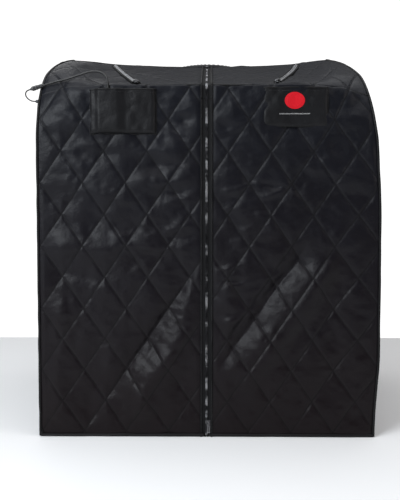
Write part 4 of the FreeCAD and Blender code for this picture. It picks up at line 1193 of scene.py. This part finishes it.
# ---------------------------------------------------------------- pockets
def make_pocket(name, x0, x1, z0, z1, depth, side_name, bulge, seed, skew):
    n, m = 70, 96
    tx, tz = np.linspace(0, 1, m), np.linspace(0, 1, n)
    TX, TZ = np.meshgrid(tx, tz)
    Xg = x0 + (x1 - x0) * TX + skew * (TZ - 0.5) * 0
    topz = z1 + 0.0012 * noise(TX * 3, TX * 0, seed)
    Zg = z0 + (topz - z0) * TZ
    dx = np.minimum(Xg - x0, x1 - Xg)
    dz = Zg - z0
    full = 1 - (1 - np.clip(dx / 0.012, 0, 1)) ** 2
    full = np.sqrt(np.clip(full, 0, 1)) * np.sqrt(np.clip(1 - (1 - np.clip(dz / 0.012, 0, 1)) ** 2, 0, 1))
    gap = bulge(Xg, Zg)
    Yg = Y_F - 0.0012 - (depth - 0.0024) * full * gap
    Yg += -0.0022 * noise(Xg * 22, Zg * 26, seed) * full - 0.0009 * noise(Xg * 70, Zg * 60, seed + 1) * full
    P = np.stack([Xg, Yg, Zg], 2)
    uv = np.stack([Xg, Zg], 2)
    o = shell(name, P, uv, 0.0014, [NYLON, NYLON])
    top = P[-1]
    low = [P[i, 0] for i in range(n - 1, -1, -2)] + [P[0, j] for j in range(0, m, 2)] + [P[i, -1] for i in range(0, n, 2)]
    b1 = tube_data(resample(np.array(top) + np.array([0, 0.0004, 0.0002]), 0.0014), 0.0018, 8)
    b2 = tube_data(resample(np.array(low) + np.array([0, 0.0004, 0.0]), 0.0014), 0.0016, 8)
    st = resample(np.array(top) + np.array([0, -0.0003, -0.007]), 0.0014)
    d1 = dashes(st, np.tile([0, -1.0, 0], (len(st), 1)), 0.0024, 0.0005, 0.0005, 0.0033)
    bt = join(name + "_binding", [(*b1, 0), (*b2, 0), (*d1, 1)], [PIPING, THREAD])
    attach(o, side_name)
    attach(bt, side_name)
    return o, P


def bulge_left(X, Z):
    # pushed out by the handset, slack beside it
    g = 0.62 + 0.38 * smooth(-0.262, -0.248, X) * (1 - smooth(-0.210, -0.185, X))
    return np.where(X > -0.21, np.maximum(g, 0.45 + 0.2 * smooth(0.72, 0.8, Z)), g)


def bulge_right(X, Z):
    return 0.72 + 0.25 * np.sin(np.clip((X - 0.131) / 0.15, 0, 1) * math.pi) * smooth(0.74, 0.80, Z)


o, pl = make_pocket("pocket_pouch_left", -0.272, -0.118, 0.716, 0.818, 0.017, "front_left", bulge_left, 110, 0)
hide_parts("pocket_left")
o, pr = make_pocket("pocket_pouch_right", 0.131, 0.281, 0.733, 0.822, 0.0075, "front_right", bulge_right, 120, 0)
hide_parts("pocket_right")

# ---------------------------------------------------------------- generic badge on the right pocket: a plain red round patch and a plain woven bar
def badge_y(x, z):
    j = int(np.clip(round((x - 0.131) / 0.150 * (pr.shape[1] - 1)), 0, pr.shape[1] - 1))
    i = int(np.clip(round((z - 0.733) / 0.089 * (pr.shape[0] - 1)), 0, pr.shape[0] - 1))
    return float(pr[i, j, 1])


cx, cz, ra, rb = 0.2040, 0.7925, 0.0235, 0.0195
V, F, M = [], [], []
rings = [0.0, 0.25, 0.5, 0.7, 0.84, 0.86, 0.92, 0.98, 1.0]
lifts = [0.0012, 0.0012, 0.0012, 0.0011, 0.0010, 0.0007, 0.0013, 0.0010, 0.0002]
ns = 72
for r_, l_ in zip(rings, lifts):
    for j in range(ns):
        a = 2 * math.pi * j / ns
        x, z = cx + ra * r_ * math.cos(a), cz + rb * r_ * math.sin(a)
        V.append((x, badge_y(x, z) - l_, z))
for i in range(len(rings) - 1):
    for j in range(ns):
        j2 = (j + 1) % ns
        F.append((i * ns + j, (i + 1) * ns + j, (i + 1) * ns + j2, i * ns + j2)[::-1])
bd = make("badge_patch", V, F, [BADGE_RED], uv=np.array([(v[0], v[2]) for v in V]))
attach(bd, "front_right")
line = np.array([(x, badge_y(x, 0.7625) - 0.0006, 0.7625) for x in np.linspace(0.168, 0.240, 60)])
d1 = dashes(line, np.tile([0, -1.0, 0], (60, 1)), 0.0021, 0.0017, 0.0005, 0.0030)
d2 = dashes(line, np.tile([0, -1.0, 0], (60, 1)), 0.0030, 0.0005, 0.0004, 0.0032, side=0.0017)
bar = join("badge_bar", [(*d1, 0), (*d2, 0)], [BADGE_PALE])
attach(bar, "front_right")

# ---------------------------------------------------------------- handset
HX = -0.229
parts = []
V, F = bevel_box((0.0436, 0.0118, 0.0896), (HX, -0.3571, 0.766), 0.0032, 3)
parts.append((V, F, 0))
V, F = bevel_box((0.0365, 0.0012, 0.0800), (HX, -0.3631, 0.766), 0.0005, 2)
parts.append((V, F, 1))
V, F = bevel_box((0.0300, 0.0008, 0.0230), (HX, -0.3637, 0.789), 0.0003, 2)
parts.append((V, F, 2))
for bx, bz in ((HX, 0.765), (HX - 0.011, 0.745), (HX + 0.011, 0.745)):
    V, F = torus((bx, -0.3637, bz), (0, 1, 0), 0.0059, 0.0005, 26, 8)
    parts.append((V, F, 0))
V, F = bevel_box((0.0440, 0.0006, 0.0002), (HX, -0.3565, 0.766), 0.0001, 1)
o = join("handset_body", parts, [CASE, CONN, RUBBER])
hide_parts("handset_case")
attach(o, "front_left")
for nm, bx, bz in (("power", HX, 0.765), ("minus", HX - 0.011, 0.745), ("plus", HX + 0.011, 0.745)):
    V, F = lathe([(0.0, 0.0046), (0.0004, 0.0049), (0.0024, 0.0049), (0.0030, 0.0045), (0.0031, 0.0030), (0.0029, 0.0010)], (bx, -0.3612, bz), (0, -1, 0), 26)
    parts = [(V, F, 0)]
    if nm == "power":
        parts.append((*torus((bx, -0.36425, bz), (0, 1, 0), 0.0022, 0.00025, 22, 6), 1))
    else:
        parts.append((*bevel_box((0.0040, 0.0004, 0.0008), (bx, -0.3642, bz), 0.0001, 1), 1))
        if nm == "plus":
            parts.append((*bevel_box((0.0008, 0.0004, 0.0040), (bx, -0.3642, bz), 0.0001, 1), 1))
    o = join("handset_key_" + nm, parts, [RUBBER, BADGE_PALE])
    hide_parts("handset_button_" + nm)
    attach(o, nm + "_button")

# ---------------------------------------------------------------- leads
LEAD_Y = -0.3573
LEAD = [(HX, LEAD_Y, 0.83315), (-0.2293, LEAD_Y + 0.0005, 0.8410), (-0.2340, -0.3538, 0.8505), (-0.2445, -0.3480, 0.8590),
        (-0.2596, -0.3410, 0.8635), (-0.2758, -0.3355, 0.8632), (-0.2929, -0.3320, 0.8589), (-0.3124, -0.3290, 0.8528), (-0.3356, -0.3255, 0.8468),
        (-0.3567, -0.3205, 0.8434), (-0.3725, -0.3180, 0.8395), (-0.3840, -0.3180, 0.8360)]
TAIL = [(-0.41949, -0.3180, 0.8252), (-0.42619, -0.3180, 0.82316), (-0.4305, -0.3180, 0.8175), (-0.4300, -0.3178, 0.8100),
        (-0.4250, -0.3176, 0.8035), (-0.4185, -0.3174, 0.7992), (-0.4125, -0.3172, 0.7976), (-0.4066, -0.3172, 0.7974)]


def spline_points(name, pts):
    cu = bpy.data.curves.new(name, "CURVE")
    cu.dimensions = "3D"
    cu.resolution_u = 12
    sp = cu.splines.new("NURBS")
    sp.points.add(len(pts) - 1)
    for p, q in zip(sp.points, pts):
        p.co = (*q, 1.0)
    sp.order_u = 3
    sp.use_endpoint_u = True
    ob = bpy.data.objects.new(name, cu)
    bpy.context.collection.objects.link(ob)
    me = bpy.data.meshes.new_from_object(ob)
    co = [tuple(v.co) for v in me.vertices]
    bpy.data.objects.remove(ob)
    bpy.data.meshes.remove(me)
    out = [co[0]]
    for c in co[1:]:
        if (Vector(c) - Vector(out[-1])).length > 1e-5:
            out.append(c)
    return out


lead_pts = spline_points("handset_lead_line", LEAD)
tail_pts = spline_points("seam_lead_line", TAIL)


def length_of(p):
    return sum((Vector(b) - Vector(a)).length for a, b in zip(p, p[1:]))


relief_parts = [(*lathe([(0.0, 0.0042), (0.0008, 0.0046), (0.0020, 0.0046)] + [x for i in range(6) for x in ((0.0026 + i * 0.0031, 0.0034), (0.0034 + i * 0.0031, 0.0044 - i * 0.00022), (0.0048 + i * 0.0031, 0.0043 - i * 0.00022), (0.0056 + i * 0.0031, 0.0033))] + [(0.0222, 0.0028)], (HX, LEAD_Y, 0.81105), (0, 0, 1), 22), 0)]
relief = join("lead_bend_relief", relief_parts, [CORD])
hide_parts("lead_strain_relief")
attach(relief, "front_left")

lead = tube("handset_cord", lead_pts, 0.0023, [CORD], 14)
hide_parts("handset_lead")
tail = tube("seam_cord", tail_pts, 0.0015, [CORD], 12)
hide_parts("seam_lead")
D = Vector((-23.0, 0.0, -7.0)).normalized()
p0 = Vector((-0.384, -0.318, 0.836))
pr_ = [(0.0, 0.0027), (0.0006, 0.0030), (0.0020, 0.0034), (0.0026, 0.0029), (0.0032, 0.0038), (0.0044, 0.0041), (0.0050, 0.0048), (0.0060, 0.0050)]
for i in range(5):
    pr_ += [(0.0066 + i * 0.0020, 0.0050), (0.0069 + i * 0.0020, 0.0046), (0.0075 + i * 0.0020, 0.0046), (0.0078 + i * 0.0020, 0.0050)]
pr_ += [(0.0172, 0.0050), (0.0178, 0.0047), (0.0180, 0.0040)]
plug = join("cord_plug", [(*lathe(pr_, p0, D, 30), 0)], [CONN])
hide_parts("inline_plug")
s0 = p0 + D * 0.01805
pr_ = [(0.0, 0.0044), (0.0003, 0.0052), (0.0010, 0.0055), (0.0042, 0.0055), (0.0046, 0.0051), (0.0056, 0.0051), (0.0060, 0.0055), (0.0120, 0.0055), (0.0136, 0.0052), (0.0142, 0.0040), (0.0150, 0.0031), (0.0158, 0.0036), (0.0166, 0.0027), (0.0174, 0.0030), (0.0182, 0.0022), (0.0190, 0.0021)]
sock = join("cord_socket", [(*lathe(pr_, s0, D, 30), 0)], [CONN])
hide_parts("inline_socket")
eye = join("seam_eyelet", [(*lathe([(0.0, 0.0052), (0.0022, 0.0052), (0.0028, 0.0040), (0.0085, 0.0038), (0.0094, 0.0034), (0.0096, 0.0028), (0.0094, 0.0020), (0.0088, 0.0017)], (-0.3965, -0.3172, 0.7974), (-1, 0, 0), 26), 0)], [RUBBER])
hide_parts("lead_eyelet")
on_roof(lead)
on_roof(tail)
on_roof(plug)
on_roof(sock)
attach(eye, "front_left")
print("LEAD LENGTHS", length_of(lead_pts), length_of(tail_pts))

# ---------------------------------------------------------------- zip sliders and pulls
def slider_parts(w=0.0090, l=0.016):
    """Flat slider lying along +Y, up +Z, as on the slope; its pin is at (1.5, 6.1) mm."""
    p = []
    p.append((*bevel_box((w, l * 0.98, 0.0014), (0, 0, 0.0012), 0.0006, 2), 0))
    p.append((*bevel_box((w, l * 0.94, 0.0013), (0, 0, 0.0037), 0.0006, 2), 0))
    p.append((*bevel_box((0.0026, 0.0050, 0.0024), (0, 0.0045, 0.0024), 0.0006, 2), 0))
    p.append((*bevel_box((w * 0.72, 0.0022, 0.0012), (0, -0.0062, 0.0042), 0.0005, 2), 0))
    for sx in (-1, 1):
        p.append((*bevel_box((0.0009, l * 0.78, 0.0030), (sx * (w / 2 - 0.0006), -0.0002, 0.0024), 0.0004, 2), 0))
    # arch that holds the pull
    an_ = np.linspace(0.0, math.pi, 12)
    arch = [(0.0, 0.0015 + 0.0026 * math.cos(a) * -1, 0.0043 + 0.0031 * math.sin(a)) for a in an_]
    p.append((*tube_data(arch, 0.00055, 8), 0))
    return p


def pull_parts():
    p = []
    # link through the arch
    p.append((*torus((0, -0.0010, 0.0061), (0, 0, 1), 0.0028, 0.00055, 26, 8, (1.0, 1.25)), 0))
    V, F = bevel_box((0.0076, 0.0190, 0.0015), (0, -0.0155, 0.0061), 0.0007, 3)
    p.append((V, F, 0))
    V, F = bevel_box((0.0050, 0.0130, 0.0019), (0, -0.0160, 0.0061), 0.0006, 2)
    p.append((V, F, 1))
    V, F = bevel_box((0.0074, 0.0016, 0.0018), (0, -0.0055, 0.0061), 0.0007, 2)
    p.append((V, F, 0))
    return p


def placed(parts, M):
    return [([tuple(M @ Vector(v)) for v in V], F, m) for V, F, m in parts]


SLOPE_ANG = math.radians(16.9819)
ca, sa = math.cos(SLOPE_ANG), math.sin(SLOPE_ANG)
s_neck = (0.044 + 0.35) / ca - 0.014
M_neck = Matrix.Translation((0, -0.35 + s_neck * ca, 0.83 + s_neck * sa)) @ Matrix.Rotation(SLOPE_ANG, 4, "X")
o = join("neck_zip_runner", placed(slider_parts(), M_neck), [SLIDER])
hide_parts("neck_slider")
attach(o, "neck_slide_body")
o = join("neck_zip_tab", placed(pull_parts(), M_neck), [SLIDER, RUBBER])
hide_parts("neck_pull")
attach(o, "neck_pull_body")
M_stop = Matrix.Translation((0, -0.35 + (s_neck + 0.0095) * ca, 0.83 + (s_neck + 0.0095) * sa)) @ Matrix.Rotation(SLOPE_ANG, 4, "X")
st = [(*bevel_box((0.0098, 0.0016, 0.0024), (0, 0.0009, 0.0016), 0.0006, 2), 0), (*bevel_box((0.0098, 0.0014, 0.0020), (0, 0.0026, 0.0014), 0.0005, 2), 0),
      (*bevel_box((0.0030, 0.0033, 0.0012), (0, 0.0017, 0.0026), 0.0004, 2), 0)]
o = join("neck_zip_end", placed(st, M_stop), [SLIDER])
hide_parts("neck_zip_stop")
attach(o, "neck_gather")
# hem slider: stands upright on the front, its pull hanging; +Y of the flat slider points down the front
M_hem = Matrix.Translation((0.0049, -0.3499, 0.0350)) @ Matrix(((1, 0, 0, 0), (0, 0, -1, 0), (0, 1, 0, 0), (0, 0, 0, 1)))
M_hem = Matrix.Translation((0.0049, -0.3499, 0.0350)) @ Matrix(((1, 0, 0), (0, 0, -1), (0, 1, 0))).to_4x4()
o = join("hem_zip_runner", placed(slider_parts(0.0088), Matrix.Translation((0, 0, -0.0030)) @ M_hem), [SLIDER])
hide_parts("hem_slider")
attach(o, "hem_slide_body")
o = join("hem_zip_tab", placed(pull_parts(), M_hem), [SLIDER, RUBBER])
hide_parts("hem_pull")
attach(o, "hem_pull_body")
# arm zip sliders
AB = Vector((-0.2596563881371882, 0.918166403412944, 0.29924741560001605))
SV = Vector((0.9622615056279489, 0.27212643162073186, 0.0))
UV_ = SV.cross(AB).normalized()
PIN = Vector((-0.16823477264175054, -0.32656157715339765, 0.8476513377973298))
base = PIN - AB * 0.0015 - UV_ * 0.0061
M_arm = Matrix(((SV.x, AB.x, UV_.x, base.x), (SV.y, AB.y, UV_.y, base.y), (SV.z, AB.z, UV_.z, base.z), (0, 0, 0, 1)))
MIR = Matrix.Scale(-1, 4, Vector((1, 0, 0)))
for side, s in ((-1, "left"), (1, "right")):
    MM = M_arm if side < 0 else MIR @ M_arm
    fl = (lambda p: p) if side < 0 else (lambda p: [(V, [tuple(reversed(f)) for f in F], m) for V, F, m in p])
    o = join("arm_zip_runner_" + s, fl(placed(slider_parts(), MM)), [SLIDER])
    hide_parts("arm_slider_" + s)
    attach(o, "arm_slide_" + s)
    o = join("arm_zip_tab_" + s, fl(placed(pull_parts(), MM)), [SLIDER, RUBBER])
    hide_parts("arm_pull_" + s)
    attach(o, "arm_pull_body_" + s)

# ---------------------------------------------------------------- screws on the rear housing
parts = []
for sx in (-1, 1):
    for z in (0.087, 0.163):
        V, F = lathe([(0.0, 0.0030), (0.0006, 0.0030), (0.0010, 0.0024), (0.0007, 0.0012), (0.0005, 0.0008)], (sx * 0.033, 0.3669, z), (0, 1, 0), 20)
        parts.append((V, F, 0))
o = join("housing_screws", parts, [SLIDER])
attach(o, "rear")

# ---------------------------------------------------------------- floor, world and lights
def plain(name, col, rough):
    m, nt, b = new_mat(name)
    tc = node(nt, "ShaderNodeTexCoord")
    f = noise_tex(nt, tc.outputs["Object"], 3.0, 2.0)
    nt.links.new(ramp(nt, f, [(0.3, col), (0.7, tuple(min(1, c * 1.01) for c in col))]), b.inputs["Base Color"])
    b.inputs["Roughness"].default_value = rough
    b.inputs["Specular IOR Level"].default_value = 0.1
    return m


floor = make("studio_floor", [(-3, -3.2, -0.0005), (3, -3.2, -0.0005), (3, 0.95, -0.0005), (-3, 0.95, -0.0005)], [(0, 1, 2, 3)], [plain("studio_floor", (0.95, 0.95, 0.95), 0.9)])
world = bpy.data.worlds.new("studio")
bpy.context.scene.world = world
world.use_nodes = True
wn = world.node_tree
bg = wn.nodes["Background"]
bg.inputs[0].default_value = (1, 1, 1, 1)
lp = wn.nodes.new("ShaderNodeLightPath")
mr = wn.nodes.new("ShaderNodeMapRange")
mr.inputs[3].default_value = 0.08
mr.inputs[4].default_value = 1.15
wn.links.new(lp.outputs["Is Camera Ray"], mr.inputs[0])
wn.links.new(mr.outputs[0], bg.inputs[1])


def area(name, loc, target, size, power, col):
    d = bpy.data.lights.new(name, "AREA")
    d.shape = "RECTANGLE"
    d.size, d.size_y = size
    d.energy = power
    d.color = col
    o = bpy.data.objects.new(name, d)
    bpy.context.collection.objects.link(o)
    o.location = loc
    o.rotation_euler = (Vector(target) - Vector(loc)).to_track_quat("-Z", "Y").to_euler()
    return o


area("key_light", (-1.7, -2.3, 1.75), (0, -0.3, 0.55), (1.5, 1.3), 72, (0.90, 0.95, 1.0))
area("fill_light", (2.3, -1.3, 1.4), (0, 0, 0.5), (1.0, 1.6), 12, (1.0, 0.95, 0.93))
area("top_light", (0.0, -0.4, 3.4), (0, -0.4, 0), (4.0, 4.0), 94, (0.97, 0.98, 1.0))
area("back_light", (-1.4, 2.6, 2.2), (-0.2, 0.0, 0.9), (1.2, 1.0), 7, (1.0, 1.0, 1.0))

bpy.context.scene.view_settings.view_transform = "Standard"
bpy.context.scene.view_settings.look = "None"
